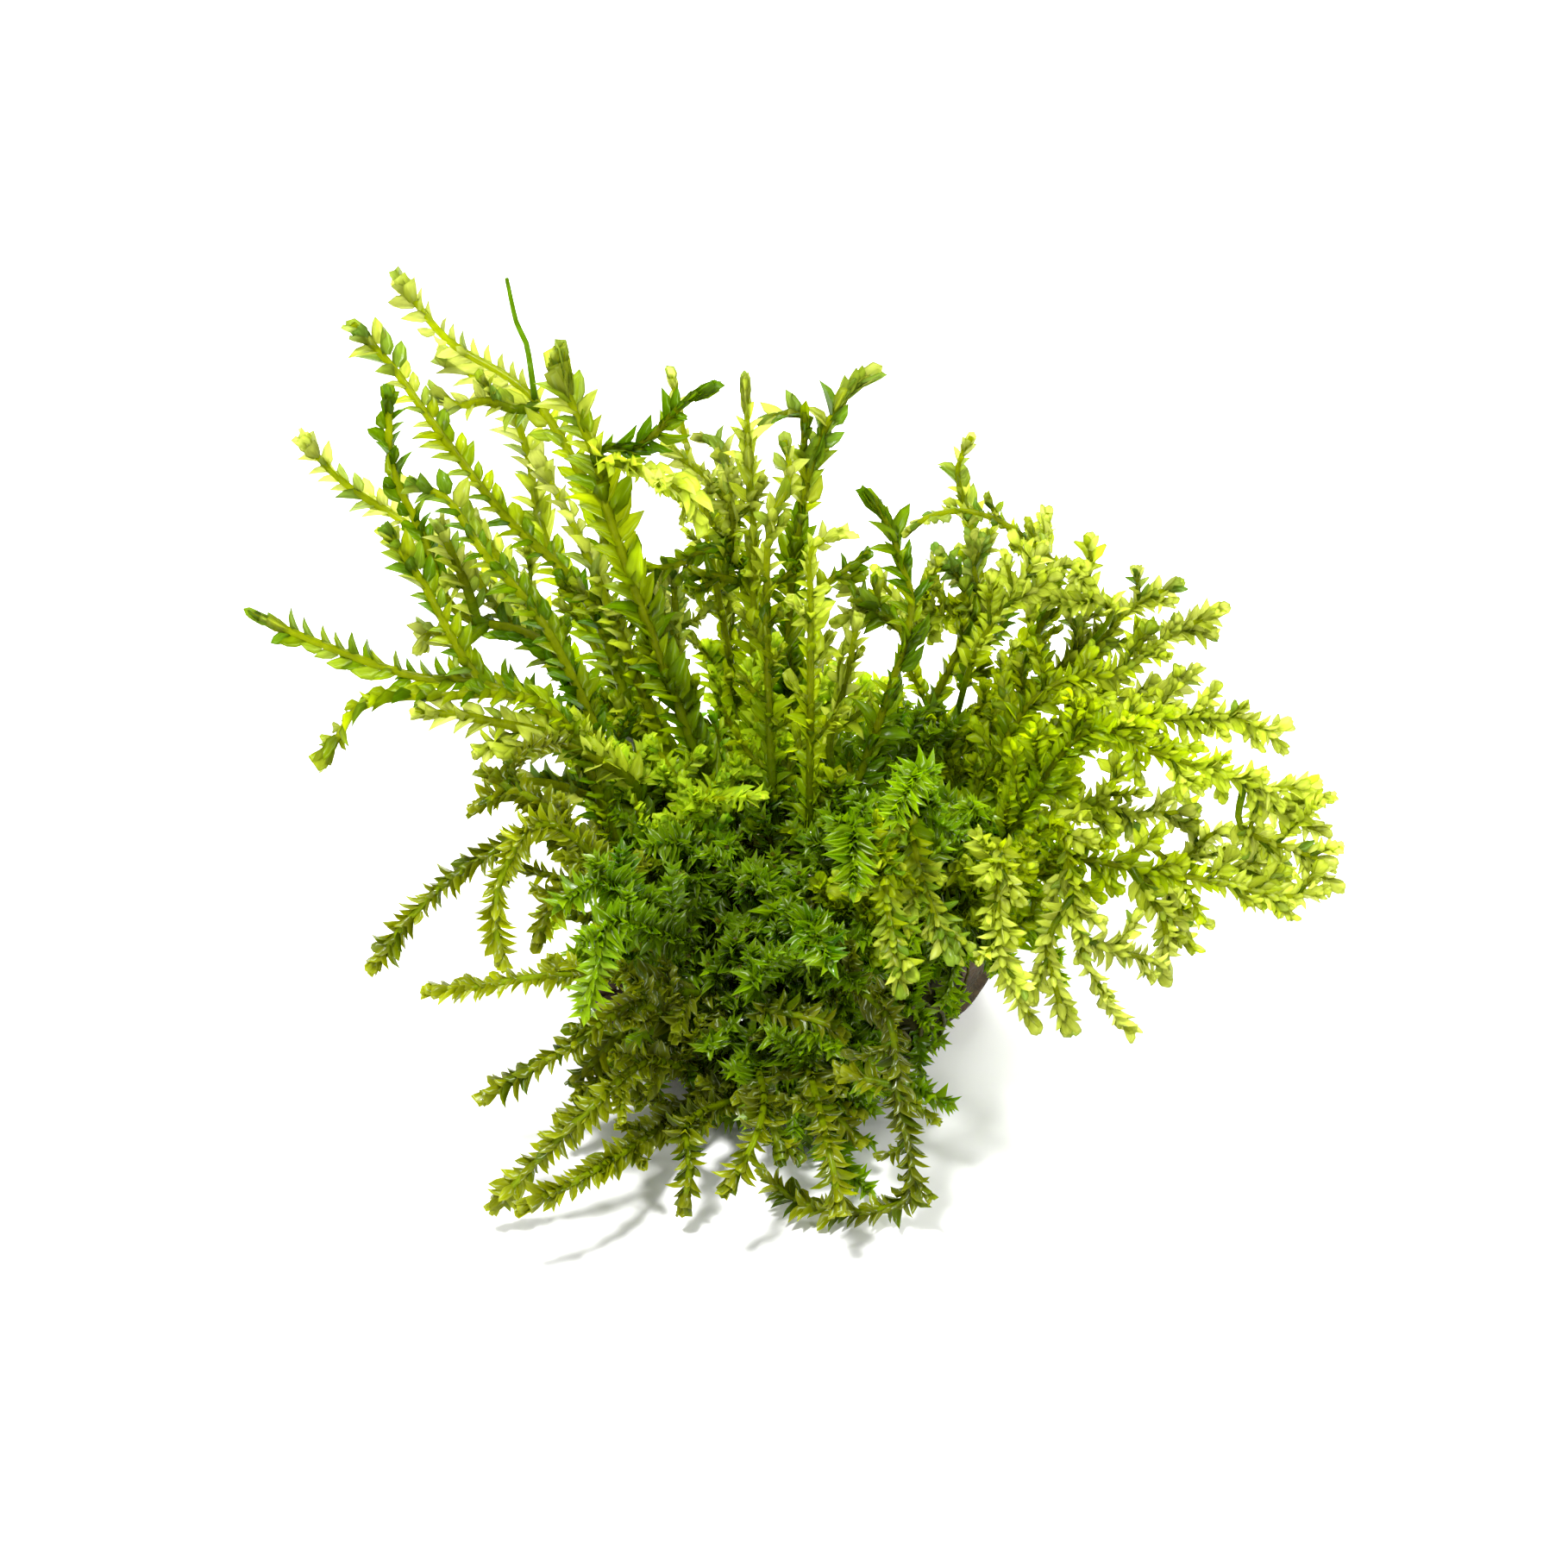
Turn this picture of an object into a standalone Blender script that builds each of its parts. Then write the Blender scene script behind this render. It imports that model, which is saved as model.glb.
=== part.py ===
# Spiky moss on a small piece of driftwood: a worn, flat-cut chip of wood,
# the matted moss that has grown over it, and the leafy shoots that stand out of the mat.
# Metres, +Z up. The origin is on the wood's sawn underside.

import math

import bmesh
import bpy
from mathutils import Vector, noise
from mathutils.bvhtree import BVHTree

MM = 0.001
GAP = 0.3 * MM                  # room left between pieces that touch

# Driftwood: a short worn log that lies almost along X, sawn flat underneath
WOOD_LENGTH = 25 * MM
WOOD_RADIUS = 5.4 * MM
WOOD_CENTRE = Vector((2.0, 0.6, 3.9)) * MM
WOOD_YAW = math.radians(14)
WOOD_SIDES = 22
WOOD_RINGS = 13
WOOD_FLUTE = 0.10               # depth of the worn grooves, as a share of the radius
WOOD_KNOT = 0.24                # height of the knot, as a share of the radius
WOOD_BOW = 1.1 * MM

# Moss mat: the tangle of old stems over the wood, a lumpy dome
MAT_CENTRE = Vector((2.5, -0.5, 5.6)) * MM
MAT_RADII = Vector((9.6, 9.6, 8.4)) * MM
MAT_LUMP = 0.09                 # height of the lumps, as a share of the radius
MAT_SIDES = 26
MAT_RINGS = 14
MAT_FOOT = 0.35 * MM            # the mat ends just above the surface the wood stands on

# Shoots: a flat leafy blade with a saw edge, its teeth pointing at the tip
SHOOT_HALF_WIDTH = 1.25 * MM
SHOOT_HALF_THICKNESS = 0.45 * MM
TOOTH_PITCH = 2.7 * MM
TOOTH_NOTCH = 0.5               # width at a notch, as a share of the full width
TOOTH_BACK = 0.3                # share of the pitch over which a tooth falls back
STEM_SHARE = 0.34               # width of the bare stem at the root
TIP_LENGTH = 2.4 * MM
TIP_SHOULDER = 0.55             # where the tip starts to close, as a share of its length
TIP_SHARE = 0.25
PATH_STEP = 0.3 * MM

# Shoots are placed as they are seen from in front, from 32 degrees above the surface:
# millimetres across and up from the origin in that view, and the depth behind it along Y
VIEW_TILT = math.radians(32)
VIEW_CENTRE = Vector((1.5, 7.63, 12.21)) * MM
VIEW_DISTANCE = 250 * MM

# Each shoot runs from the mat to its tip, as (across, up, back) in millimetres.
# The first number turns its flat side, in degrees: 0 faces the front, 90 is edge on.
SHOOTS = {
    "upper_left": [
        (20, [(-3, 12, 4), (-9, 25.1, 8), (-9.4, 30, 11), (-13.3, 37.2, 16), (-18.5, 40.8, 19), (-21.5, 44.6, 20)]),
        (0, [(-2, 12, 1), (-8.5, 29.2, 4), (-9.7, 33.8, 5), (-11.5, 38, 6), (-11.7, 40.4, 6)]),
        (10, [(-4, 12, 7), (-12.1, 27.5, 16), (-13.7, 33.8, 21), (-15, 37, 22), (-18.7, 39.9, 23)]),
        (60, [(-3, 11, 3), (-9.2, 25.6, 6), (-11, 29.7, 8), (-13.1, 33.6, 10)]),
        (25, [(-5, 11, 3), (-9.7, 24.4, 8), (-15.1, 30.3, 11), (-19.2, 35.6, 13), (-21.8, 39.2, 14), (-24.2, 41.8, 14)]),
        (40, [(-6, 10, 1), (-12, 22, 5), (-17.9, 24.6, 8), (-20, 29.2, 9), (-21.8, 33.3, 10), (-22, 37.9, 11)]),
        (15, [(-6, 11, -1), (-12.3, 23.1, 2), (-16.4, 28.2, 4), (-18.5, 31.3, 5), (-21, 32.3, 5)]),
        (0, [(-5, 12, 8), (-12.3, 23, 16), (-20, 29.2, 23), (-24.4, 32.1, 25), (-27.2, 34.9, 25)]),
        (0, [(-7, 9, -2), (-12.3, 18.5, 0), (-16.4, 20.5, 1), (-18.5, 23.6, 2), (-20, 26.4, 3), (-22.3, 29.7, 3)]),
        (15, [(-6, 9, 3), (-13.3, 19.5, 6), (-20.5, 20.8, 7), (-26.2, 22.8, 8), (-30.3, 24.6, 8)]),
        (70, [(-6, 6, -3), (-11.8, 18.3, -3), (-19.5, 19.6, -4), (-23.6, 19, -5), (-25, 17.2, -5), (-26.2, 15.6, -5)]),
    ],
    "top": [
        (30, [(0, 13, 4), (-3.3, 30.3, 10), (-4.4, 35, 12), (-5.2, 38.9, 13)]),
        (0, [(-9.2, 34.4, 5), (-6.9, 34.6, 4), (-4.6, 36.9, 3), (-2.8, 37.9, 3)]),
        (60, [(-9.7, 33.8, 4.5), (-7.2, 33.1, 2.5), (-4.6, 31.8, 1.5), (-3.3, 29.5, 1)]),
        (0, [(0, 12, 1), (-0.3, 28.7, 6), (-0.6, 33.8, 8), (-0.8, 38.4, 9)]),
        (30, [(-1, 12, 6), (-1.9, 28.2, 12), (-1.6, 31.3, 13), (-2.1, 34.1, 14), (-4, 35.2, 14.5)]),
        (0, [(2, 12, 4), (1.5, 24, 7), (2.1, 31.3, 9), (3.1, 34.6, 10), (4.6, 37.4, 11), (6.8, 38.9, 11.5)]),
        (0, [(1, 12, -1), (0.5, 28, 2), (1.8, 32.3, 4), (1.5, 35.1, 5)]),
        (20, [(5, 12, -2), (8.7, 23.6, 0), (8, 28.2, 1), (7.2, 31, 2), (6.3, 32, 2)]),
        (0, [(3, 12, -3), (3.1, 24.6, -1), (3.1, 28.2, 0), (5.1, 29.4, 0)]),
        (50, [(11, 14, 6), (17.5, 25.5, 10), (15.9, 28.9, 9), (12.8, 30, 7), (8.4, 29, 5)]),
        (0, [(7, 13, 6), (12.8, 24.6, 12), (12.6, 29.7, 14), (11.8, 32.8, 15), (12.7, 35.2, 15.5)]),
    ],
    "right": [
        (60, [(8, 12, 3), (15.4, 22, 10), (16.6, 26.7, 13), (17.2, 30.6, 14)]),
        (0, [(10, 12, 2), (17, 20.5, 7), (20.5, 23.1, 9), (22.3, 25, 10), (24.9, 26.3, 10)]),
        (0, [(11, 11, -1), (16.4, 19.5, 1), (21.5, 21.2, 3), (24.4, 23.2, 4), (27.3, 24.7, 4)]),
        (0, [(11, 11, 5), (18.5, 18.5, 10), (23.6, 19.6, 13), (26.1, 21.3, 13.5)]),
        (0, [(12, 9, 1), (17.5, 17, 3), (22.6, 18, 4), (26.4, 18.4, 4), (29.5, 17.9, 3.5), (31.3, 16.4, 3)]),
        (0, [(12, 8, -2), (19, 17.2, -3), (23.6, 16.2, -4), (27.5, 15, -5), (30.3, 14.1, -5), (32.8, 14.4, -5)]),
        (0, [(12, 6, -5), (17.9, 9.7, -8), (23.1, 9.2, -9), (27.7, 8.5, -9), (30.8, 7.7, -9), (33.8, 8.1, -9)]),
        (0, [(13, 8, 0), (18.5, 13, 0), (22.6, 12.6, 0), (25.9, 12.8, 0)]),
        (60, [(12, 8, -6), (17.4, 12, -10), (18.7, 8.5, -13), (19.2, 5, -15), (20.3, 2.3, -16), (22.3, -0.4, -17)]),
        (0, [(12, 7, -7), (14.4, 10.5, -12), (14.2, 6.9, -15), (14.6, 3.6, -17), (16.4, 0, -18)]),
        (0, [(22.6, 8.7, -9.5), (24.1, 6.2, -11), (24.1, 3.3, -12)]),
        (0, [(7, 7, -8), (8.7, 11.8, -13), (9.7, 8.7, -16), (10.8, 5.6, -18), (11.5, 4.1, -18.5)]),
        (0, [(5, 6, -9), (7, 10.4, -16), (7.7, 6.7, -20), (8.2, 3.6, -22), (8.4, 2, -22.5)]),
    ],
    "middle": [
        (0, [(8, 10, -5), (9.5, 15, -13), (7.9, 12.3, -19)]),
        (0, [(5, 9, -7), (5.6, 12, -15), (5.6, 8, -21)]),
        (0, [(2, 5, -8), (3, 6, -15), (4.3, 3.6, -20)]),
        (0, [(-5, 6, -7), (-9, 8.5, -13), (-12, 7.2, -16)]),
        (0, [(-4, 5, -8), (-8.5, 6.2, -15), (-9.7, 3.3, -18), (-10.3, 0.8, -19)]),
    ],
    "lower_left": [
        (20, [(-6, 6, -5), (-11.8, 11.5, -6), (-16.9, 9.7, -8), (-20.5, 6.7, -9), (-23.1, 3.3, -10)]),
        (0, [(-6, 7, -7), (-12.3, 12, -9), (-15.2, 9.2, -11), (-15.6, 5.6, -12), (-15.1, 3.3, -13)]),
        (0, [(-6, 6, -5), (-11, 11, -6), (-13, 13.3, -6.2), (-15, 13.9, -6), (-17.2, 12.8, -6)]),
        (45, [(-3, 2, -9), (-7.2, 2.8, -12), (-12.3, 3, -14), (-16.9, 2.3, -15), (-19.7, 2.1, -15)]),
        (30, [(-4, 0, -9), (-7.2, 1.3, -14), (-11.3, -1.3, -17), (-16.7, -4.4, -18)]),
        (0, [(-3, -2, -9), (-6.7, -2.1, -15), (-9.7, -4.6, -19), (-13.1, -7.9, -20), (-15.9, -10.9, -20)]),
        (0, [(-3, -3.5, -9.5), (-6.2, -6.2, -15), (-8.7, -7.9, -20), (-11.8, -9.7, -23), (-14.1, -10.8, -24)]),
    ],
    "lower": [
        (0, [(0, -3, -9.5), (-4.1, -5.6, -16), (-4.1, -8.2, -19), (-4.5, -11, -20)]),
        (0, [(0, -1, -9), (0.3, -4.6, -17), (-0.6, -7.5, -21), (-2.1, -9.9, -23)]),
        (0, [(2, 0, -10), (3.1, -3.1, -15), (4.1, -7, -20), (4.9, -11, -23)]),
        (30, [(4, 4, -9), (6.2, 2.1, -14), (7.9, 0, -17), (8.3, -4.1, -19), (9.1, -8.4, -20), (8.4, -10.5, -19.5),
              (5.1, -11.1, -19.2), (2.1, -10.3, -18.6), (0, -8.5, -17)]),
        (0, [(3, -1, -10), (4.1, -4.4, -13), (6.2, -7.2, -15)]),
    ],
    "back": [
        (0, [(-3, 10, 5), (-7, 14, 13), (-10, 16, 21)]),
        (0, [(0, 11, 7), (-2, 15, 15), (-4, 17, 24)]),
        (0, [(3, 12, 8), (3, 19, 14), (4, 22, 22)]),
        (0, [(6, 11, 7), (9, 15, 15), (11, 16.5, 23)]),
        (0, [(9, 10, 5), (14, 14, 11), (18, 16, 18)]),
    ],
}

BRIGHT_REGIONS = ("upper_left", "top", "right")     # seen against the light, yellower


def clear_scene():
    for item in list(bpy.data.objects):
        bpy.data.objects.remove(item)


def new_collection(name):
    collection = bpy.data.collections.new(name)
    bpy.context.scene.collection.children.link(collection)
    return collection


def new_material(name, colour, roughness):
    material = bpy.data.materials.new(name)
    material.use_nodes = True
    shader = material.node_tree.nodes["Principled BSDF"]
    shader.inputs["Base Color"].default_value = (*colour, 1)
    shader.inputs["Roughness"].default_value = roughness
    shader.inputs["Metallic"].default_value = 0
    return material


def mesh_object(name, bm, collection, material=None):
    bmesh.ops.recalc_face_normals(bm, faces=bm.faces)
    mesh = bpy.data.meshes.new(name)
    bm.to_mesh(mesh)
    bm.free()
    if material:
        mesh.materials.append(material)
    item = bpy.data.objects.new(name, mesh)
    collection.objects.link(item)
    return item


def cut_flat(bm, height):
    # Takes away everything below a level and closes the cut
    geometry = bm.verts[:] + bm.edges[:] + bm.faces[:]
    cut = bmesh.ops.bisect_plane(
        bm, geom=geometry, plane_co=(0, 0, height), plane_no=(0, 0, 1), clear_inner=True)
    rim = [edge for edge in cut["geom_cut"] if isinstance(edge, bmesh.types.BMEdge)]
    bmesh.ops.contextual_create(bm, geom=rim)


def wood_radius(along, angle):
    # along runs from -1 to 1 down the log: worn round ends, long grooves and one knot
    ends = (1 - 0.62 * abs(along) ** 5) * (1 + 0.09 * math.sin(2.4 * along + 0.8))
    flutes = math.sin(5 * angle + 1.6 * along) + 0.6 * math.sin(9 * angle - 2.3 * along + 1)
    knot = math.exp(-((along - 0.35) / 0.22) ** 2) * math.exp(-((angle - 1.1) / 0.55) ** 2)
    return ends * (1 + WOOD_FLUTE * 0.6 * flutes + WOOD_KNOT * knot)


def driftwood_mesh(grow, foot):
    # A cylinder with rings along it, worn to shape, laid down and sawn flat
    bm = bmesh.new()
    bmesh.ops.create_cone(bm, cap_ends=True, segments=WOOD_SIDES, radius1=1, radius2=1, depth=2)
    risers = [edge for edge in bm.edges if abs(edge.verts[0].co.z - edge.verts[1].co.z) > 1]
    bmesh.ops.subdivide_edges(bm, edges=risers, cuts=WOOD_RINGS, use_grid_fill=False)
    for vert in bm.verts:
        along = vert.co.z
        angle = math.atan2(vert.co.y, vert.co.x)
        radius = WOOD_RADIUS * wood_radius(along, angle) + grow
        bow = WOOD_BOW * math.sin(2.2 * along)
        reach = along * (WOOD_LENGTH / 2 + grow)
        across = Vector((reach, radius * math.cos(angle) + bow, radius * math.sin(angle)))
        turned = Vector((
            across.x * math.cos(WOOD_YAW) - across.y * math.sin(WOOD_YAW),
            across.x * math.sin(WOOD_YAW) + across.y * math.cos(WOOD_YAW),
            across.z,
        ))
        vert.co = WOOD_CENTRE + turned
    cut_flat(bm, foot)
    return bm


def make_driftwood(collection, material):
    return mesh_object("driftwood", driftwood_mesh(0, 0), collection, material)


def make_mat(collection, cutters, material):
    # A lumpy dome, hollowed where the wood runs through it
    bm = bmesh.new()
    bmesh.ops.create_uvsphere(bm, u_segments=MAT_SIDES, v_segments=MAT_RINGS, radius=1)
    for vert in bm.verts:
        lump = 1 + MAT_LUMP * noise.noise(vert.co * 2.3 + Vector((4, 0, 2)))
        vert.co = MAT_CENTRE + Vector(part * radius * lump for part, radius in zip(vert.co, MAT_RADII))
    cut_flat(bm, MAT_FOOT)
    mat = mesh_object("moss_mat", bm, collection, material)

    cutter = mesh_object("wood_space", driftwood_mesh(GAP, -WOOD_RADIUS), cutters)
    cutter.hide_render = True
    cutter.display_type = "WIRE"
    hollow = mat.modifiers.new("wood space", "BOOLEAN")
    hollow.operation = "DIFFERENCE"
    hollow.solver = "EXACT"
    hollow.object = cutter
    return mat


def guide_point(across, up, back):
    # The point at depth back on the line of sight through (across, up)
    sine, cosine = math.sin(VIEW_TILT), math.cos(VIEW_TILT)
    eye = VIEW_CENTRE - VIEW_DISTANCE * Vector((0, cosine, -sine))
    seen = Vector((across, up * sine, up * cosine)) * MM
    sight = seen - eye
    return eye + sight * ((back * MM - eye.y) / sight.y)


def smooth_path(points, step):
    # A smooth curve through the points, read at even steps
    ends = [2 * points[0] - points[1]] + points + [2 * points[-1] - points[-2]]
    fine = []
    for a, b, c, d in zip(ends, ends[1:], ends[2:], ends[3:]):
        for k in range(24):
            t = k / 24
            fine.append(0.5 * (2 * b + (c - a) * t + (2 * a - 5 * b + 4 * c - d) * t ** 2
                               + (3 * b - a - 3 * c + d) * t ** 3))
    fine.append(points[-1])
    path, left = [fine[0]], step
    for a, b in zip(fine, fine[1:]):
        length = (b - a).length
        while left <= length:
            path.append(a.lerp(b, left / length))
            left += step
        left -= length
    path.append(fine[-1])
    return path


def blade_frames(path, turn):
    # At each point of a path: the direction across the blade and the one its flat side faces
    front = Vector((0, -math.cos(VIEW_TILT), math.sin(VIEW_TILT)))
    frames = []
    for k, point in enumerate(path):
        along = (path[min(k + 1, len(path) - 1)] - path[max(k - 1, 0)]).normalized()
        level = Vector((0, 0, 1)).cross(along).normalized()
        upright = along.cross(level)
        tilt = math.atan2(-front.dot(level), front.dot(upright)) + turn
        across = level * math.cos(tilt) + upright * math.sin(tilt)
        frames.append((across, along.cross(across), tilt))
    return frames


def free_share(point, frame, solids):
    # The widest share of the full blade that keeps the gap to the solids here
    across, facing, _ = frame
    for share in (1, 0.85, 0.7, 0.55, STEM_SHARE):
        corners = [point]
        for sign in (-share, share):
            corners.append(point + across * SHOOT_HALF_WIDTH * sign)
            corners.append(point + facing * SHOOT_HALF_THICKNESS * sign)
        if all(solids.find_nearest(corner)[3] >= GAP for corner in corners):
            return share
    return 0


def tooth_stations(length):
    # (distance, share of the width) along a blade: each tooth rises, then drops back sharply
    teeth = max(2, round((length - TIP_LENGTH) / TOOTH_PITCH))
    pitch = (length - TIP_LENGTH) / teeth
    stations = [(0, STEM_SHARE)]
    for k in range(1, teeth + 1):
        stations.append(((k - TOOTH_BACK) * pitch, 1))
        stations.append((k * pitch, TOOTH_NOTCH))
    stations.append((length - TIP_LENGTH * TIP_SHOULDER, 0.8))
    stations.append((length, TIP_SHARE))
    return stations


def fitted_stations(length, room):
    # The teeth, narrowed where the shoot squeezes past another piece
    stations = tooth_stations(length)
    places = [distance for distance, _ in stations]
    fitted = []
    for before, (distance, share), after in zip([0] + places, stations, places[1:] + [length]):
        beside = room[int(before / PATH_STEP):int(after / PATH_STEP) + 2]
        fitted.append((distance, min([share] + beside)))
    return fitted


def make_blade_section(cutters):
    # The shoot's cross-section, a flat diamond
    curve = bpy.data.curves.new("blade_section", "CURVE")
    curve.dimensions = "2D"
    curve.fill_mode = "NONE"
    spline = curve.splines.new("POLY")
    spline.points.add(3)
    wide, thick = SHOOT_HALF_WIDTH, SHOOT_HALF_THICKNESS
    for point, corner in zip(spline.points, ((wide, 0), (0, -thick), (-wide, 0), (0, thick))):
        point.co = (*corner, 0, 1)
    spline.use_cyclic_u = True
    section = bpy.data.objects.new("blade_section", curve)
    section.hide_render = True
    section.display_type = "WIRE"
    cutters.objects.link(section)
    return section


def make_shoot(name, guide, turn, solids, section, collection, material):
    # The shoot starts where it first comes clear of what is built so far
    points = [MAT_CENTRE.copy()] + [guide_point(*place) for place in guide]
    path = smooth_path(points, PATH_STEP)
    frames = blade_frames(path, math.radians(turn))
    room = [free_share(point, frame, solids) for point, frame in zip(path, frames)]
    start = max(k for k, share in enumerate(room) if share == 0) + 1
    path, frames, room = path[start:], frames[start:], room[start:]

    curve = bpy.data.curves.new(name, "CURVE")
    curve.dimensions = "3D"
    curve.twist_mode = "Z_UP"
    curve.bevel_mode = "OBJECT"
    curve.bevel_object = section
    curve.use_fill_caps = True
    curve.materials.append(material)
    stations = fitted_stations((len(path) - 1) * PATH_STEP, room)
    spline = curve.splines.new("POLY")
    spline.points.add(len(stations) - 1)
    for point, (distance, share) in zip(spline.points, stations):
        k = min(int(distance / PATH_STEP), len(path) - 2)
        point.co = (*path[k].lerp(path[k + 1], distance / PATH_STEP - k), 1)
        point.radius = share
        point.tilt = frames[k][2]
    shoot = bpy.data.objects.new(name, curve)
    collection.objects.link(shoot)
    return shoot


def evaluated_faces(item):
    # The corner points and faces of a piece as it is built
    graph = bpy.context.evaluated_depsgraph_get()
    mesh = bpy.data.meshes.new_from_object(item.evaluated_get(graph))
    corners = [item.matrix_world @ vert.co for vert in mesh.vertices]
    faces = [tuple(face.vertices) for face in mesh.polygons]
    bpy.data.meshes.remove(mesh)
    return corners, faces


class Solids:
    # What has been built so far, to keep new shoots clear of it
    def __init__(self):
        self.corners = []
        self.faces = []

    def add(self, item):
        corners, faces = evaluated_faces(item)
        first = len(self.corners)
        self.corners += corners
        self.faces += [tuple(first + k for k in face) for face in faces]

    def tree(self):
        return BVHTree.FromPolygons(self.corners, self.faces)


def main():
    clear_scene()
    collection = new_collection("spiky_moss_on_driftwood")
    cutters = new_collection("cutters")
    wet_wood = new_material("wet_driftwood", (0.055, 0.034, 0.016), 0.55)
    old_moss = new_material("old_moss", (0.045, 0.062, 0.008), 0.6)
    bright_moss = new_material("bright_moss", (0.30, 0.42, 0.03), 0.38)
    deep_moss = new_material("deep_moss", (0.10, 0.20, 0.012), 0.38)

    solids = Solids()
    solids.add(make_driftwood(collection, wet_wood))
    solids.add(make_mat(collection, cutters, old_moss))

    section = make_blade_section(cutters)
    for region, shoots in SHOOTS.items():
        material = bright_moss if region in BRIGHT_REGIONS else deep_moss
        for number, (turn, guide) in enumerate(shoots, 1):
            name = f"{region}_shoot_{number}"
            solids.add(make_shoot(name, guide, turn, solids.tree(), section, collection, material))


main()
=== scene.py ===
import math
import random
from functools import partial

import bmesh
import bpy
import numpy as np
from mathutils import Matrix, Vector, noise


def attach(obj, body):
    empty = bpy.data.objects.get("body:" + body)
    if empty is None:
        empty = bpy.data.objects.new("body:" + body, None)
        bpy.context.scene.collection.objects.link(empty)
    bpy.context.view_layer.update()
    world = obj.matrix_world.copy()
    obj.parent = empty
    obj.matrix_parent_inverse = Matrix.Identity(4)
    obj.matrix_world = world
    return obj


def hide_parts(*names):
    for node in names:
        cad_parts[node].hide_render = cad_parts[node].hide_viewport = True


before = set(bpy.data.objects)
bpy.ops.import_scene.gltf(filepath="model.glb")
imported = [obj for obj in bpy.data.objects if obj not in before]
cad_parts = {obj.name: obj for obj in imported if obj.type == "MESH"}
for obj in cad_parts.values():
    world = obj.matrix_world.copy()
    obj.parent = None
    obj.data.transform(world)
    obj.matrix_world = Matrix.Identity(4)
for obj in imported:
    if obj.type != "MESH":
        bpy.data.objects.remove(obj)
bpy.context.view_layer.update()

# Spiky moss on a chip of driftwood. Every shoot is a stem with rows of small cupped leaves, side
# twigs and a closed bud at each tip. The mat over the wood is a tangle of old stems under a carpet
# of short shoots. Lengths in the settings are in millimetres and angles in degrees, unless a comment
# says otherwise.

mm = 0.001


# objects, meshes and materials

def addObject(name, data):
    item = bpy.data.objects.new(name, data)
    bpy.context.scene.collection.objects.link(item)
    return item


def meshFrom(bm, name):
    mesh = bpy.data.meshes.new(name)
    bm.to_mesh(mesh)
    bm.free()
    return mesh


def newMaterial(name):
    material = bpy.data.materials.new(name)
    material.use_nodes = True
    return material, material.node_tree.nodes, material.node_tree.nodes["Principled BSDF"]


def feed(node, values):
    # Fills the node's inputs: a socket among the values is linked, None is left out, the rest is set
    for name, value in values.items():
        if isinstance(value, bpy.types.NodeSocket):
            node.id_data.links.new(value, node.inputs[name])
        elif value is not None:
            node.inputs[name].default_value = value


def addNode(kind, values, **options):
    # A new node in the tree that the sockets among the values belong to
    tree = next(value.id_data for value in values.values() if isinstance(value, bpy.types.NodeSocket))
    node = tree.nodes.new(kind)
    for option, value in options.items():
        setattr(node, option, value)
    feed(node, values)
    return node


# camera, floor and light

view = {
    "tilt": math.radians(32),
    "aim": Vector((1.5, 7.63, 12.21)) * mm,
    "distance": 250 * mm,
    "lens": 96.53,
    "sensor": 36,
    "clip": (0.01, 20),                # metres
}
front = Vector((0, -math.cos(view["tilt"]), math.sin(view["tilt"])))   # from the moss to the eye
eye = view["aim"] + front * view["distance"]


def makeCamera():
    data = bpy.data.cameras.new("camera")
    data.lens = view["lens"]
    data.sensor_width = view["sensor"]
    data.clip_start, data.clip_end = view["clip"]
    data.dof.use_dof = False
    camera = addObject("camera", data)
    camera.location = eye
    camera.rotation_euler = (math.pi / 2 - view["tilt"], 0, 0)
    bpy.context.scene.camera = camera


studio = {
    "floorSize": 2.4,                 # metres
    "floorLooks": {"Base Color": (0.87, 0.87, 0.87, 1), "Roughness": 0.9, "Specular IOR Level": 0.1},
    "sky": {"Color": (1.0, 1.0, 1.0, 1), "Strength": 0.6},
    "lamps": {                        # place, side of the square, watts, all in metres
        "key": ((-0.15, -0.2, 0.6), 0.1, 7.5),
        "backLight": ((0.05, 0.45, 0.5), 0.35, 6.5),
        "sideLight": ((0.5, 0.1, 0.35), 0.12, 2.5),
        "frontLight": ((0.3, -0.5, 0.35), 0.06, 1.2),
    },
}


def makeStudio():
    material, _, shader = newMaterial("paleFloor")
    feed(shader, studio["floorLooks"])
    bm = bmesh.new()
    bmesh.ops.create_grid(bm, x_segments=1, y_segments=1, size=studio["floorSize"] / 2)
    mesh = meshFrom(bm, "floor")
    mesh.materials.append(material)
    floor = addObject("floor", mesh)

    world = bpy.data.worlds.new("studio")
    world.use_nodes = True
    feed(world.node_tree.nodes["Background"], studio["sky"])
    bpy.context.scene.world = world
    bpy.context.scene.view_settings.view_transform = "Standard"
    for name, (place, size, power) in studio["lamps"].items():
        data = bpy.data.lights.new(name, "AREA")
        data.shape = "SQUARE"
        data.size = size
        data.energy = power
        lamp = addObject(name, data)
        lamp.location = place
        lamp.rotation_euler = (view["aim"] - Vector(place)).to_track_quat("-Z", "Y").to_euler()


makeCamera()
makeStudio()
print("stage: camera, floor and light")


# paths

pathStep = 0.25 * mm
curveSteps = 24              # steps between two guide points, before the path is read evenly
lowest = 1.0 * mm            # no stem runs lower than this over the floor
keptDrift = 0.85             # share of its drift that a stem keeps from one step to the next


def seenPoint(across, up, back):
    # The point at depth back on the line of sight through (across, up)
    sine, cosine = math.sin(view["tilt"]), math.cos(view["tilt"])
    seen = Vector((across, up * sine, up * cosine)) * mm
    sight = seen - eye
    return eye + sight * ((back * mm - eye.y) / sight.y)


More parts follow.
